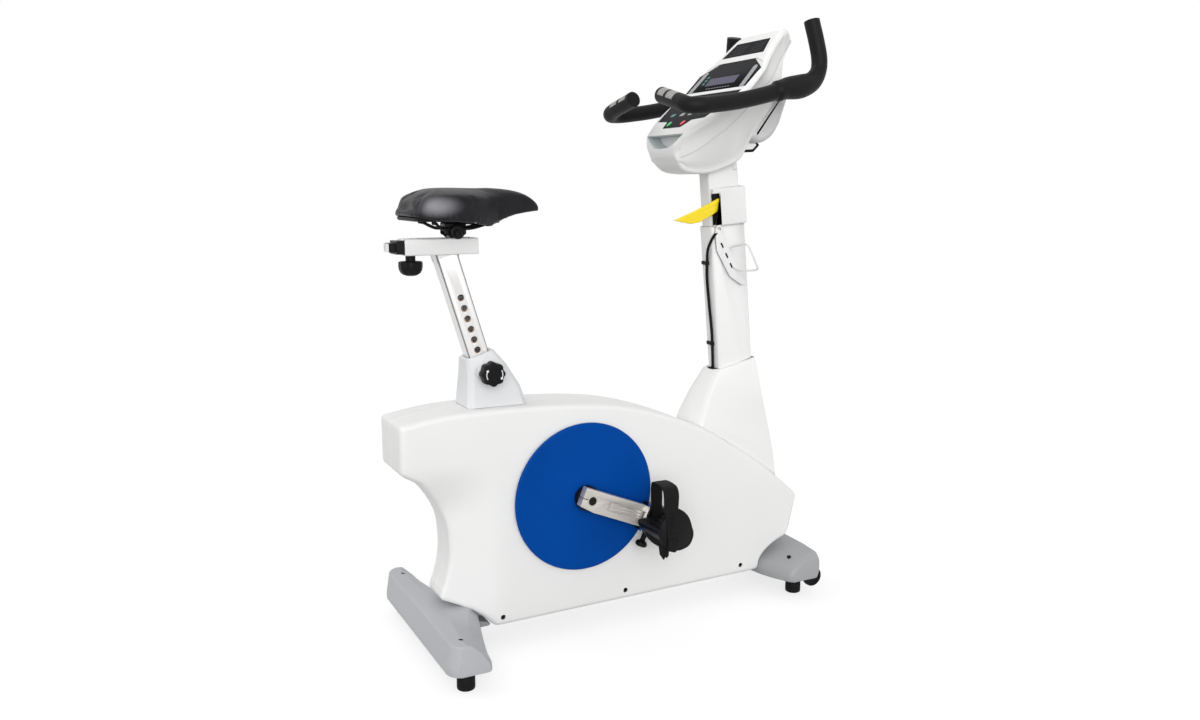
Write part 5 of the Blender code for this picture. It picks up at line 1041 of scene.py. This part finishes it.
# x, distance in from the side, z and radius, from the inner end to the horn's tip
pulse, tube, palm, horn = (bar[key] for key in ("pulse", "bar", "palm", "horn"))
gripPoints = np.array([
    (0.207, 0.129, 1.243, pulse), (0.202, 0.045, 1.223, pulse), (0.206, 0.015, 1.214, tube),
    (0.228, 0.001, 1.213, tube), (0.262, 0, 1.216, tube), (0.33, 0, 1.226, tube), (0.395, 0, 1.24, tube),
    (0.432, 0, 1.25, tube + 0.001), (0.462, 0.001, 1.258, palm - 0.002), (0.5, 0.003, 1.264, palm),
    (0.534, 0.006, 1.276, palm - 0.004), (0.556, 0.01, 1.3, horn + 0.001), (0.563, 0.016, 1.33, horn),
    (0.561, 0.026, 1.37, horn), (0.557, 0.036, 1.406, horn), (0.556, 0.039, 1.417, horn * 0.97)])
for side, sign in handed:
    route = smoothLine(gripPoints * (1, -1, 1, 1) + (shiftX, bar["side"], 0, 0), 14) * (1, sign, 1, 1)
    reach = reachAlong(route[:, :3])
    total = reach[-1]
    radius = route[:, 3].copy()
    for end in (reach, total - reach):
        radius *= np.where(end < bar["endRound"], 1 - 0.22 * (1 - np.clip(end / bar["endRound"], 0, 1)) ** 2, 1)
    # the palm swells in a short step behind its ring
    palmAt = float(np.interp(0.428 + shiftX, route[40:150, 0], reach[40:150]))
    step = np.clip((reach - palmAt) / 0.004, 0, 1) * np.clip((palmAt + 0.075 - reach) / 0.05, 0, 1)
    radius = np.maximum(radius, tube + bar["swell"] * step)
    for ringAt in (0.096, palmAt - 0.003):
        radius -= bar["groove"] * np.exp(-((reach - ringAt) / 0.001) ** 2)
    fine = np.unique(np.concatenate([np.linspace(0, total, 260), np.linspace(0, 0.005, 8),
                                     np.linspace(total - 0.005, total, 8), np.linspace(0.093, 0.099, 12),
                                     np.linspace(0.282, 0.288, 12)]))
    line = np.stack([np.interp(fine, reach, route[:, k]) for k in range(3)], -1)
    grip = surface(side + "_grip_sleeve", carriedTube(line, np.interp(fine, reach, radius), 36), angle=60)
    dress(grip, "black_foam", "mast_top", side + "_grip")
    # two bright pads lie over the inner end, with a dark gap between them
    for k, (start, end) in enumerate(bar["pads"]):
        span = np.linspace(start, end, 14)
        ends = np.minimum(1, np.minimum(span - start, end - span) / 0.002)
        path = np.stack([np.interp(span, reach, route[:, j]) for j in range(3)], -1)
        ahead = unit(np.gradient(path, axis=0))
        out = unit(np.cross(ahead, (0, 0, 1.0)))
        turn = np.linspace(*np.radians(bar["padTurn"]), 26)[None, :, None]
        over = np.cos(turn) * out[:, None] + np.sin(turn) * np.cross(out, ahead)[:, None]
        high = path[:, None] + over * (pulse + bar["padLift"] + bar["padWall"] * ends[:, None, None] ** 0.5)
        low = path[:, None] + over * (pulse - 0.001)
        dress(surface("%s_sensor_pad_%d" % (side, k), np.concatenate([high, low[:, ::-1]], axis=1), angle=40),
              "bright_steel", "mast_top", finish=padSteel)
print("grips made")


# Turned and lobed small pieces
def lobed(name, rows, axis, centre, lobes, depth):
    # rows of (radius, height, share): the radius swells and shrinks with the angle, as on a hand knob
    rows = np.asarray(rows, float)
    wave = np.cos(lobes * np.linspace(0, 2 * math.pi, 96, endpoint=False))
    swell = 1 + depth * (np.sign(wave) * np.abs(wave) ** 0.6)[None, :] * rows[:, 2:]
    return surface(name, revolved(rows, axis, centre, 96, swell), angle=38)


pinPlace = postFoot - 0.0395 * postUp
knob = {"back": -0.0488, "front": -0.0838, "arrowRadius": 0.0185, "arrowHalf": 0.001}
front = knob["front"]
lockKnob = lobed("seat_lock_knob_body", [
    (0.0165, knob["back"], 0), (0.0205, knob["back"] - 0.003, 0.6), (0.0245, knob["back"] - 0.007, 1),
    (0.026, knob["back"] - 0.01, 1), (0.026, front + 0.006, 1), (0.0252, front + 0.003, 1),
    (0.0232, front + 0.0008, 0.8), (0.0205, front, 0.2), (0.0155, front, 0), (0.015, front + 0.0008, 0),
    (0.0001, front + 0.0008, 0)], "y", pinPlace, 8, 0.055)
dress(lockKnob, "black_plastic", bodyOf("seat_lock_knob"), "seat_lock_knob")
for k in range(2):
    # two white arrows curve round the knob's face
    turn = math.radians(60 + 180 * k) + np.linspace(0, math.radians(70), 16)
    half = np.concatenate([np.full(12, knob["arrowHalf"]), [0.0034, 0.0024, 0.0012, 0.0001]])
    out, back = knob["arrowRadius"] + half, knob["arrowRadius"] - half
    ring = np.stack([np.concatenate([out * f(turn), (back * f(turn))[::-1]]) for f in (np.sin, np.cos)], -1)
    rings = [flatAt(ring + pinPlace[[0, 2]], y) for y in (front + 0.0004, front - 0.0002)]
    dress(surface("knob_arrow_%d" % k, np.stack(rings), smooth=False), "white_paint", bodyOf("seat_lock_knob"))

sliderKnob = lobed("slider_knob_body", [
    (0.0001, -0.044, 0), (0.009, -0.0437, 0.2), (0.015, -0.042, 0.6), (0.02, -0.0385, 1), (0.0235, -0.0325, 1),
    (0.025, -0.025, 1), (0.025, -0.016, 1), (0.0243, -0.014, 0.8), (0.0225, -0.013, 0.3), (0.0105, -0.0125, 0),
    (0.0105, -0.0003, 0), (0.004, -0.0003, 0), (0.004, 0.0027, 0)], "z", (-0.372 + shiftX, 0, 0.894), 7, 0.045)
dress(sliderKnob, "black_plastic", bodyOf("slider_knob"), "slider_knob")

footProfile = [
    (0.0001, 0.0), (0.0165, 0.0), (0.0188, 0.0015), (0.0195, 0.004), (0.0195, 0.013), (0.019, 0.0135),
    (0.019, 0.0145), (0.0195, 0.015), (0.0193, 0.03), (0.018, 0.0318), (0.0125, 0.0322), (0.012, 0.03),
    (0.0052, 0.03), (0.005, 0.033)]
for nodeName in ("rear_left_foot", "rear_right_foot", "front_left_foot", "front_right_foot"):
    low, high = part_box(nodeName)
    threads = enumerate(np.arange(0.034, high.z - 0.001, 0.0008))
    profile = footProfile + [(0.005 - 0.0006 * (k % 2), z) for k, z in threads]
    profile += [(0.0042, high.z), (0.0001, high.z)]
    grid = revolved(profile, "z", ((low.x + high.x) / 2, (low.y + high.y) / 2, 0), 40)
    dress(surface(nodeName + "_pad", grid, angle=35), "black_rubber", bodyOf(nodeName), nodeName)

wheelProfile = [
    (0.0043, 0.0003), (0.0215, 0.0003), (0.0245, 0.0012), (0.0258, 0.0035), (0.026, 0.008),
    (0.0258, 0.0125), (0.0245, 0.015), (0.0215, 0.016), (0.0185, 0.0155), (0.0178, 0.0135), (0.0105, 0.013),
    (0.01, 0.016), (0.0043, 0.016)]
for side, sign in handed:
    node = side + "_transport_wheel"
    ringPiece(side + "_wheel", wheelProfile, (0.624 + shiftX, sign * 0.138, 0.045), 64, "black_plastic",
              bodyOf(node), node, sign=sign, wrapRows=True, angle=35)
print("knobs, feet and wheels made")


# Saddle: a padded vinyl cover over a moulded pan, on two wire rails
saddle = {"smaller": 0.0022, "voxel": 0.005, "pressure": 4.0, "frames": 20, "most": 0.006, "floor": 0.9745,
          "rollUnder": 0.009, "waist": 0.018, "lean": 0.965, "rim": 0.013, "crease": 0.0007, "creases": 52,
          "creaseHeight": 0.02, "fill": 0.6, "tailLean": 0.02, "sheenAt": (-0.37, 0.116, 0.999)}
# x, half width, crown, skirt
saddleStations = np.array([
    (-0.3905, 0.012, 0.99, 0.984), (-0.3895, 0.036, 0.995, 0.981), (-0.387, 0.058, 1.003, 0.978),
    (-0.38, 0.084, 1.015, 0.975), (-0.366, 0.104, 1.0245, 0.971), (-0.343, 0.119, 1.0295, 0.968),
    (-0.315, 0.124, 1.0315, 0.966), (-0.285, 0.118, 1.032, 0.964), (-0.257, 0.104, 1.0315, 0.961),
    (-0.232, 0.085, 1.031, 0.955), (-0.212, 0.069, 1.0312, 0.953), (-0.192, 0.056, 1.032, 0.96),
    (-0.168, 0.047, 1.033, 0.969), (-0.14, 0.04, 1.0315, 0.977), (-0.112, 0.034, 1.024, 0.981),
    (-0.09, 0.027, 1.01, 0.9835), (-0.08, 0.02, 0.998, 0.9845), (-0.0765, 0.011, 0.991, 0.986)])
saddleOrigin = np.array([-0.275 + shiftX, 0.0, 0.944])


def saddleGrid():
    # each section is a flattened dome over a side that draws in a little, rolls under and meets the pan
    x, half, crown, skirt = smoothLine(saddleStations, 5).T[:, :, None]
    half = half - saddle["smaller"]
    crown = crown - saddle["smaller"]
    side = crown - 0.3 * (crown - skirt)
    over = np.linspace(math.pi / 2, 0, 16)[None]
    lean = saddle["lean"]
    topY = lean * half * np.cos(over) ** 0.85
    topZ = side + (crown - side) * np.sin(over) ** 0.75
    down = np.linspace(0, 1, 7)[None, 1:]
    roll = np.minimum(saddle["rollUnder"], 0.5 * (side - skirt))
    sideY = half * (lean + (1 - lean) * down - saddle["waist"] * np.sin(math.pi * down))
    sideZ = side + (skirt + roll - side) * down
    under = np.linspace(0, math.pi / 2, 6)[None, 1:]
    rollY = half - np.minimum(roll, 0.4 * half) * (1 - np.cos(under))
    rollZ = skirt + roll * (1 - np.sin(under))
    rim = np.maximum(0.0015, half - saddle["rim"])
    floor = np.maximum(saddle["floor"], skirt + 0.001)
    y = np.concatenate([topY, sideY, rollY, rim + 0.002, rim, rim * 0.66, rim * 0.33], 1)
    z = np.concatenate([topZ, sideZ, rollZ, skirt + 0.0003, floor, floor, floor], 1)
    y = np.concatenate([y, np.zeros_like(x), -y[:, :0:-1]], 1)
    z = np.concatenate([z, floor, z[:, :0:-1]], 1)
    # the tail end leans forward as it rises
    rise = np.clip((z - skirt) / (crown - skirt), 0, 1)
    lead = saddle["tailLean"] * rise ** 1.3 * np.clip((-0.345 - x) / 0.045, 0, 1) ** 1.5
    return np.stack([np.broadcast_to(x + shiftX + lead, y.shape), y, z], -1)


def skirtAt(place):
    # the height of the cover's lower edge at each point's x
    return np.interp(place[:, 0] - shiftX, saddleStations[:, 0], saddleStations[:, 3])


def inflated(piece):
    # the cover as cloth blown up from inside: held along the pan, no point moves further than "most"
    remesh = piece.modifiers.new("even mesh", "REMESH")
    remesh.mode = "VOXEL"
    remesh.voxel_size = saddle["voxel"]
    before = pointsOf(baked(piece).data)
    held = piece.vertex_groups.new(name="held")
    held.add(np.flatnonzero(before[:, 2] < skirtAt(before) + 0.004).tolist(), 1.0, "REPLACE")
    cloth = piece.modifiers.new("padding", "CLOTH")
    cloth.settings.use_pressure = True
    cloth.settings.uniform_pressure_force = saddle["pressure"]
    cloth.settings.effector_weights.gravity = 0.0
    cloth.settings.vertex_group_mass = "held"
    cloth.collision_settings.use_collision = False
    cloth.point_cache.frame_start = 1
    cloth.point_cache.frame_end = saddle["frames"]
    for step in range(1, saddle["frames"] + 1):
        bpy.context.scene.frame_set(step)
    blown = evaluated(piece)
    move = pointsOf(blown) - before
    far = np.linalg.norm(move, axis=1, keepdims=True)
    piece.modifiers.clear()
    piece.vertex_groups.clear()
    movePoints(piece.data, before + move * np.minimum(1, saddle["most"] / np.maximum(far, 1e-9)))
    bpy.data.meshes.remove(blown)
    bpy.context.scene.frame_set(1)
    return piece


def creased(piece):
    # short pleats where the vinyl is pulled under: a wave round the saddle that fades with height
    place = pointsOf(piece.data)
    lift = place[:, 2] - skirtAt(place)
    out = np.stack([place[:, 0] - shiftX + 0.3, place[:, 1]], -1)
    turn = np.arctan2(out[:, 1], out[:, 0])
    rise = np.clip(lift / saddle["creaseHeight"], 0, 1)
    near = np.where(lift > 0.0015, np.sin(math.pi * rise) ** 1.5, 0)
    wave = np.sin(turn * saddle["creases"] + 3.0 * np.sin(turn * 7) + 2.0 * np.sin(turn * 3 + 1))
    share = np.clip((shiftX - place[:, 0] - 0.2) / 0.08, 0, 1) * near * wave
    place[:, :2] += unit(out) * (share * saddle["crease"])[:, None]
    movePoints(piece.data, place)
    return shaded(piece)


def vinylFinish():
    # pebbled black vinyl, with a painted highlight: a pale patch low on both flanks near the rear
    made = Finish("saddle vinyl", (0.018, 0.018, 0.021), 0.4, Specular_IOR_Level=0.1)
    pebble = made.node("ShaderNodeTexVoronoi", {}, {"Vector": made.place, "Scale": 620.0}, "Distance")
    patch = made.noise(26.0, 3.0)
    x, y, z = saddle["sheenAt"]
    along = made.axis("X") - (x + shiftX)
    width = abs(made.axis("Y")) - y
    height = made.axis("Z") - z
    # painted highlight: the pale patch's mask, fading towards the nose
    paintedSheen = 1 - ((along * along) * 115 + (height * height) * 1250 + (width * width) * 600).above(0.5, 1.0)
    nose = 1 - (made.axis("X") - (shiftX - 0.235)).above(0.0, 0.16) * 0.55
    tone = made.tint(patch, (0.01, 0.01, 0.012), (0.02, 0.02, 0.024))
    made.feed("Base Color", made.tint(paintedSheen * paintedSheen * (patch * 0.45 + 0.5) * nose, tone, (0.42, 0.42, 0.45)))
    made.feed("Roughness", patch * 0.16 + pebble * 0.08 + 0.26)
    return made.bump(pebble, 0.00016).bump(made.noise(60.0, 4.0), 0.0004)


cushion = surface("saddle_cover", saddleGrid())
cushion = inflated(cushion)
rounding = cushion.modifiers.new("smooth", "SUBSURF")
rounding.levels = rounding.render_levels = 1
dress(creased(baked(cushion)), "grey_vinyl", bodyOf("saddle_cushion"), "saddle_cushion", finish=vinylFinish())
panHalf = saddleStations[3:13, :2] - (0, 0.015)
panLine = softCorners(np.concatenate([panHalf, panHalf[::-1] * (1, -1)]) + shift, 0.012, 4)
panRings = [np.concatenate([insetLine(panLine, depth), np.full((len(panLine), 1), z)], 1) for depth, z in (
    (0.01, 0.9662), (0.003, 0.9664), (0.0005, 0.9685), (0.0, 0.9715), (0.0006, 0.974), (0.003, 0.9742))]
dress(surface("saddle_pan", np.stack(panRings), angle=40), "black_plastic", bodyOf("saddle_base"),
      "saddle_base")

rails = {"radius": 0.0035, "y": 0.0239, "level": 0.005, "under": 0.0184}
railHalf = np.array([
    (-0.062, 0.026, 0.0134), (-0.052, 0.02, 0.0114), (-0.044, 0.008, 0.006), (-0.033, 0.002, 0.001),
    (-0.022, 0, 0), (0.026, 0, 0), (0.052, -0.004, 0.004), (0.08, -0.01, 0.0114), (0.098, -0.016, 0.0134)])
railHalf += (0, rails["y"], rails["level"])
railLine = saddleOrigin + smoothLine(np.concatenate([railHalf, [(0.104, 0.0, rails["under"])],
                                                     railHalf[::-1] * (1, -1, 1)]), 6)
dress(surface("saddle_rail_wires", carriedTube(railLine, rails["radius"], 14)), "black_metal",
      bodyOf("saddle_rails"), "saddle_rails")
clampParts = (
    ("clamp_cheek", [(0.0001, 0.0279), (0.0145, 0.0279), (0.0158, 0.029), (0.0158, 0.0312), (0.0145, 0.0322),
                     (0.012, 0.0322), (0.0112, 0.0314), (0.0001, 0.0314)], -0.001, 48, "black_metal"),
    ("clamp_nut", [(0.0001, 0.0315), (0.008, 0.0315), (0.0085, 0.0322), (0.0085, 0.0368), (0.0076, 0.0376),
                   (0.0045, 0.0376), (0.0042, 0.035), (0.0001, 0.035)], -0.0045, 6, "black_metal"),
    ("clamp_bolt", [(0.0001, 0.02), (0.0038, 0.02), (0.0038, 0.0278), (0.0001, 0.0278)], -0.0045, 24,
     "cast_steel"))
for side, sign in handed:
    # an outer cheek holds each rail, with a nut on the cross bolt below it
    for name, profile, low, sides, slotName in clampParts:
        ringPiece("%s_%s" % (side, name), profile, saddleOrigin + (0, 0, low), sides, slotName,
                  bodyOf("saddle_clamp"), sign=sign, smooth=sides > 6, angle=40)
print("saddle made")


# Seat slide: the carriage keeps its CAD form inside the housing and ends in a smaller capped bar
endRoom = block("room", (-0.44, -0.03, 0.88), (-0.4085, 0.03, 0.94), 0.0001)
shaded(carved(refine("seat_carriage", 0.001), endRoom), 35)
dress(block("seat_bar_end", (-0.4225, -0.0175, 0.9015), (-0.408, 0.0175, 0.921), 0.0012),
      "black_metal", bodyOf("seat_carriage"))
dress(block("seat_bar_cap", (-0.4245, -0.0165, 0.9025), (-0.4226, 0.0165, 0.92), 0.0006),
      "bright_steel", bodyOf("seat_carriage"))


def postFinish():
    # the plating is painted darker along the rounded corners, a painted reflection, and copper round the holes,
    # whose upper part is painted near-black as painted shade
    plating = (0.78, 0.77, 0.765)
    made = brushedMetal("plated seat post", plating, 0.3, (260.0, 260.0, 6.0), postLean, 0.00001, 0.04, 0.55)
    x = made.axis("X") - float(postFoot[0])
    y = made.axis("Y")
    z = made.axis("Z") - float(postFoot[2])
    rise, lean = float(postUp[2]), -float(postUp[0])
    across = x * rise + z * lean
    along = z * rise - x * lean
    # painted reflection: the plating darker along the rounded corners
    edge = abs(across).above(0.0215, 0.0015) * abs(y).above(0.0162, 0.0015)
    # the place within one pitch of the holes, which starts half a pitch below the first
    pitch = 0.0245
    spot = (along + 0.0395).maths("DIVIDE", along + 0.0395, pitch) + 20.5
    spot = (spot.maths("FRACT", spot) - 0.5) * pitch
    away = ((spot * spot) + (across + 0.0004) * (across + 0.0004)) ** 0.5
    rim = (1 - away.above(0.0078, 0.0008)) * (1 - y.above(-0.019, 0.0004)) * (1 - along.above(0.144, 0.002))
    tone = made.tint(rim, made.tint(edge, plating, (0.15, 0.15, 0.16)), (0.42, 0.27, 0.19))
    # painted shade: the upper part of each hole's disc is near-black
    return made.feed("Base Color", made.tint(rim * spot.above(0.0012, 0.003), tone, (0.03, 0.026, 0.025)))


plated = postFinish()
refine("seat_post", 0.0006, finish=plated)
# a filler closes the post's slanted end up to the slide
fillUp = postUp[[0, 2]]
fillAcross = np.array([fillUp[1], -fillUp[0]])
slideLow = float(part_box("slider_housing")[0][2]) - 0.0003
reach = (float(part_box("seat_post")[1][2]) - postFoot[2] - 0.025 * fillAcross[1]) / fillUp[1] - 0.003
filler = [postFoot[[0, 2]] + fillUp * reach + fillAcross * half for half in (-0.0247, 0.0247)]
filler += [corner + fillUp * max(0.0005, (slideLow - corner[1]) / fillUp[1]) for corner in filler[::-1]]
dress(plate("post_filler", filler, -0.0197, 0.0197, 0.0003, 0.0003), "bright_steel", bodyOf("seat_post"),
      finish=plated)
print("seat made")


# Pedals: rounded bodies with a round outer cheek, a ribbed strap with its buckle, and the carriages' lock knobs
pedals = {"right": (0.05194, -1, 0.26247), "left": (-0.27094, 1, 0.39753)}
pedalSide = smoothLine([
    (-0.05, 0.002), (-0.046, 0.014), (-0.03, 0.0165), (0.02, 0.0165), (0.037, 0.012), (0.0455, -0.004),
    (0.0455, -0.026), (0.038, -0.045), (0.024, -0.057), (0.008, -0.061), (-0.006, -0.056), (-0.022, -0.041),
    (-0.038, -0.019)], 4, True)
cheekSide = smoothLine([
    (-0.04, 0.022), (-0.028, 0.04), (-0.01, 0.051), (0.006, 0.0535), (0.022, 0.044), (0.035, 0.028),
    (0.043, 0.004), (0.0445, -0.022), (0.034, -0.039), (0.012, -0.0455), (-0.014, -0.043), (-0.034, -0.028),
    (-0.043, -0.004)], 5, True)
buckle = [(-0.025, -0.014), (0.004, -0.018), (0.004, -0.036), (-0.006, -0.046), (-0.025, -0.04)]
strapTail = [
    (-0.04, -0.026), (-0.011, -0.026), (-0.013, -0.058), (-0.018, -0.063), (-0.022, -0.06),
    (-0.026, -0.066), (-0.036, -0.052)]
lockKnobProfile = [
    (0.0001, 0.024), (0.0038, 0.024), (0.0038, 0.035), (0.0062, 0.0353), (0.0062, 0.055), (0.0075, 0.0575),
    (0.0122, 0.06), (0.0142, 0.0635), (0.0142, 0.067), (0.0128, 0.0705), (0.009, 0.0725), (0.0001, 0.073)]
hubProfile = [
    (0.0205, 0.0884), (0.0288, 0.0884), (0.0292, 0.089), (0.0292, 0.1022), (0.0282, 0.1034),
    (0.0205, 0.1034)]
washer = [(0.0102, 0.1241), (0.0124, 0.1241), (0.0124, 0.1246), (0.012, 0.125), (0.0106, 0.125),
          (0.0102, 0.1246)]
# y, z, middle of the width, half width of the strap's way from the inner end over the foot to the buckle
strapWay = smoothLine([
    (0.141, 0.004, 0.000, 0.0135), (0.1385, 0.03, 0.000, 0.014), (0.1382, 0.06, -0.001, 0.015),
    (0.1415, 0.088, -0.002, 0.016), (0.152, 0.1005, -0.004, 0.017), (0.178, 0.1045, -0.007, 0.018),
    (0.206, 0.1035, -0.01, 0.019), (0.22, 0.0985, -0.013, 0.0195), (0.2275, 0.086, -0.015, 0.0198),
    (0.2296, 0.06, -0.016, 0.0185), (0.2298, 0.02, -0.013, 0.014), (0.2298, -0.03, -0.011, 0.013)], 22)
strap = {"half": 0.0013, "rib": 0.0022, "pitch": 0.0095, "ribWidth": 0.55}


def strapGrid(x, sign, z):
    # a flat section carried along the way; ribs stand on its outer face beside the foot
    y, up, middle, wideHalf = strapWay.T
    ahead = unit(np.gradient(strapWay[:, :2], axis=0))
    out = np.stack([-ahead[:, 1], ahead[:, 0]], -1)
    reach = reachAlong(strapWay[:, :2])
    outer = (y > 0.226) & (up < 0.05) & (up > -0.018)
    rib = np.where(outer, np.clip(np.sin(reach * 2 * math.pi / strap["pitch"]) * 3, 0, 1) * strap["rib"], 0)
    wide = np.concatenate([np.linspace(-1, 1, 17), np.linspace(1, -1, 9)])
    face = np.repeat([1, -1], (17, 9))
    soft = strap["half"] * (1 - 0.35 * np.abs(wide) ** 10)
    lift = face * soft + (face > 0) * (np.abs(wide) < strap["ribWidth"]) * rib[:, None]
    yz = strapWay[:, None, :2] + out[:, None] * lift[..., None]
    xs = middle[:, None] + wide * wideHalf[:, None]
    return np.stack([xs + x, sign * yz[..., 0], yz[..., 1] + z], -1)


for side, (x, sign, z) in pedals.items():
    body = bodyOf(side + "_pedal")
    # the underside rises towards the outer end
    rows = [flatAt(pedalSide * np.where(pedalSide < 0, (1, flat), 1) + (x, z), sign * y)
            for y, flat in ((0.12, 1.0), (0.15, 1.0), (0.24, 0.7))]
    prism = surface("room", np.stack(rows), smooth=False)
    shaded(carved(refine(side + "_pedal", 0.0012), prism, operation="INTERSECT"), 35)
    dress(plate(side + "_pedal_cheek", cheekSide + (x, z), sign * 0.2185, sign * 0.227, 0.002, 0.0001),
          "black_plastic", body)
    dress(surface(side + "_strap_band", strapGrid(x, sign, z), angle=40), "black_rubber", body,
          side + "_pedal_strap")
    dress(plate(side + "_strap_buckle", np.array(buckle) + (x, z), sign * 0.2285, sign * 0.2335, 0.0012),
          "black_plastic", body)
    dress(plate(side + "_strap_tail", np.array(strapTail) + (x, z), sign * 0.213, sign * 0.216, 0.0008, 0.001),
          "black_rubber", body)
    # the lock knob hangs square to the line from the crank to the pedal
    reach = unit(np.array([x - shiftX, 0.0, z - crankCentre[2]]))
    down = sign * np.abs(reach[[2, 1, 0]])
    dress(turned(side + "_lock_knob", lockKnobProfile, (x, sign * 0.11, z), down), "black_plastic",
          bodyOf(side + "_lock_pin"), side + "_lock_pin")
    for name, profile, sides, slotName in (("hub_boss", hubProfile, 72, "black_metal"),
                                           ("axle_ring", washer, 48, "milled_alloy")):
        ringPiece("%s_%s" % (side, name), profile, crankCentre, sides, slotName, "crank", sign=sign,
                  wrapRows=True, angle=40)
print("pedals made")

for nodeName, node in nodes.items():
    node.data.materials.clear()
    node.data.materials.append(finishes[slots[nodeName]].material)


# Stage: pale floor and even light, with one soft key from behind the left shoulder
light = {"even": 0.66, "floor": 0.36, "glow": 0.72,
         "suns": {"key": (1.85, 50.0, -110.0, 14.0), "fill": (0.45, 40.0, 145.0, 48.0)}}


def plainSight(tree, factor, offset, strength):
    # feeds a strength with: offset, plus the factor where the ray comes straight from the camera,
    # off a mirror or through glass
    path = tree.nodes.new("ShaderNodeLightPath")
    share = path.outputs["Is Camera Ray"]
    for operation, second in (("MAXIMUM", path.outputs["Is Glossy Ray"]),
                              ("MAXIMUM", path.outputs["Is Transmission Ray"]), ("MULTIPLY_ADD", None)):
        step = tree.nodes.new("ShaderNodeMath")
        step.operation = operation
        tree.links.new(share, step.inputs[0])
        if second:
            tree.links.new(second, step.inputs[1])
        share = step.outputs[0]
    step.inputs[1].default_value = factor
    step.inputs[2].default_value = offset
    tree.links.new(share, strength)


def makeStage():
    # a floor that glows white to the camera and is plain grey to the light, and a white sky
    floor = surface("floor", revolved([(0.0001, 0.0), (9.0, 0.0)], "z", (0, 0, -0.0005), 96), caps=False)
    made = bpy.data.materials.new("pale floor")
    made.use_nodes = True
    tree = made.node_tree
    tree.nodes.clear()
    plain, white, both, out = (tree.nodes.new("ShaderNode" + kind) for kind in (
        "BsdfDiffuse", "Emission", "AddShader", "OutputMaterial"))
    plain.inputs["Color"].default_value = (light["floor"],) * 3 + (1,)
    white.inputs["Color"].default_value = (1, 1, 1, 1)
    plainSight(tree, light["glow"], 0.0, white.inputs["Strength"])
    tree.links.new(plain.outputs[0], both.inputs[0])
    tree.links.new(white.outputs[0], both.inputs[1])
    tree.links.new(both.outputs[0], out.inputs[0])
    floor.data.materials.append(made)
    world = bpy.data.worlds.new("studio")
    world.use_nodes = True
    sky = world.node_tree.nodes["Background"]
    sky.inputs["Color"].default_value = (1, 1, 1, 1)
    plainSight(world.node_tree, 1.0 - light["even"], light["even"], sky.inputs["Strength"])
    bpy.context.scene.world = world
    for name, (energy, spread, azimuth, elevation) in light["suns"].items():
        lamp = linked(name, bpy.data.lights.new(name, "SUN"))
        lamp.data.energy = energy
        lamp.data.angle = math.radians(spread)
        lamp.rotation_euler = (math.radians(90 - elevation), 0, math.radians(azimuth + 90))


makeStage()
bpy.context.scene.view_settings.view_transform = "Standard"
print("stage and light set")
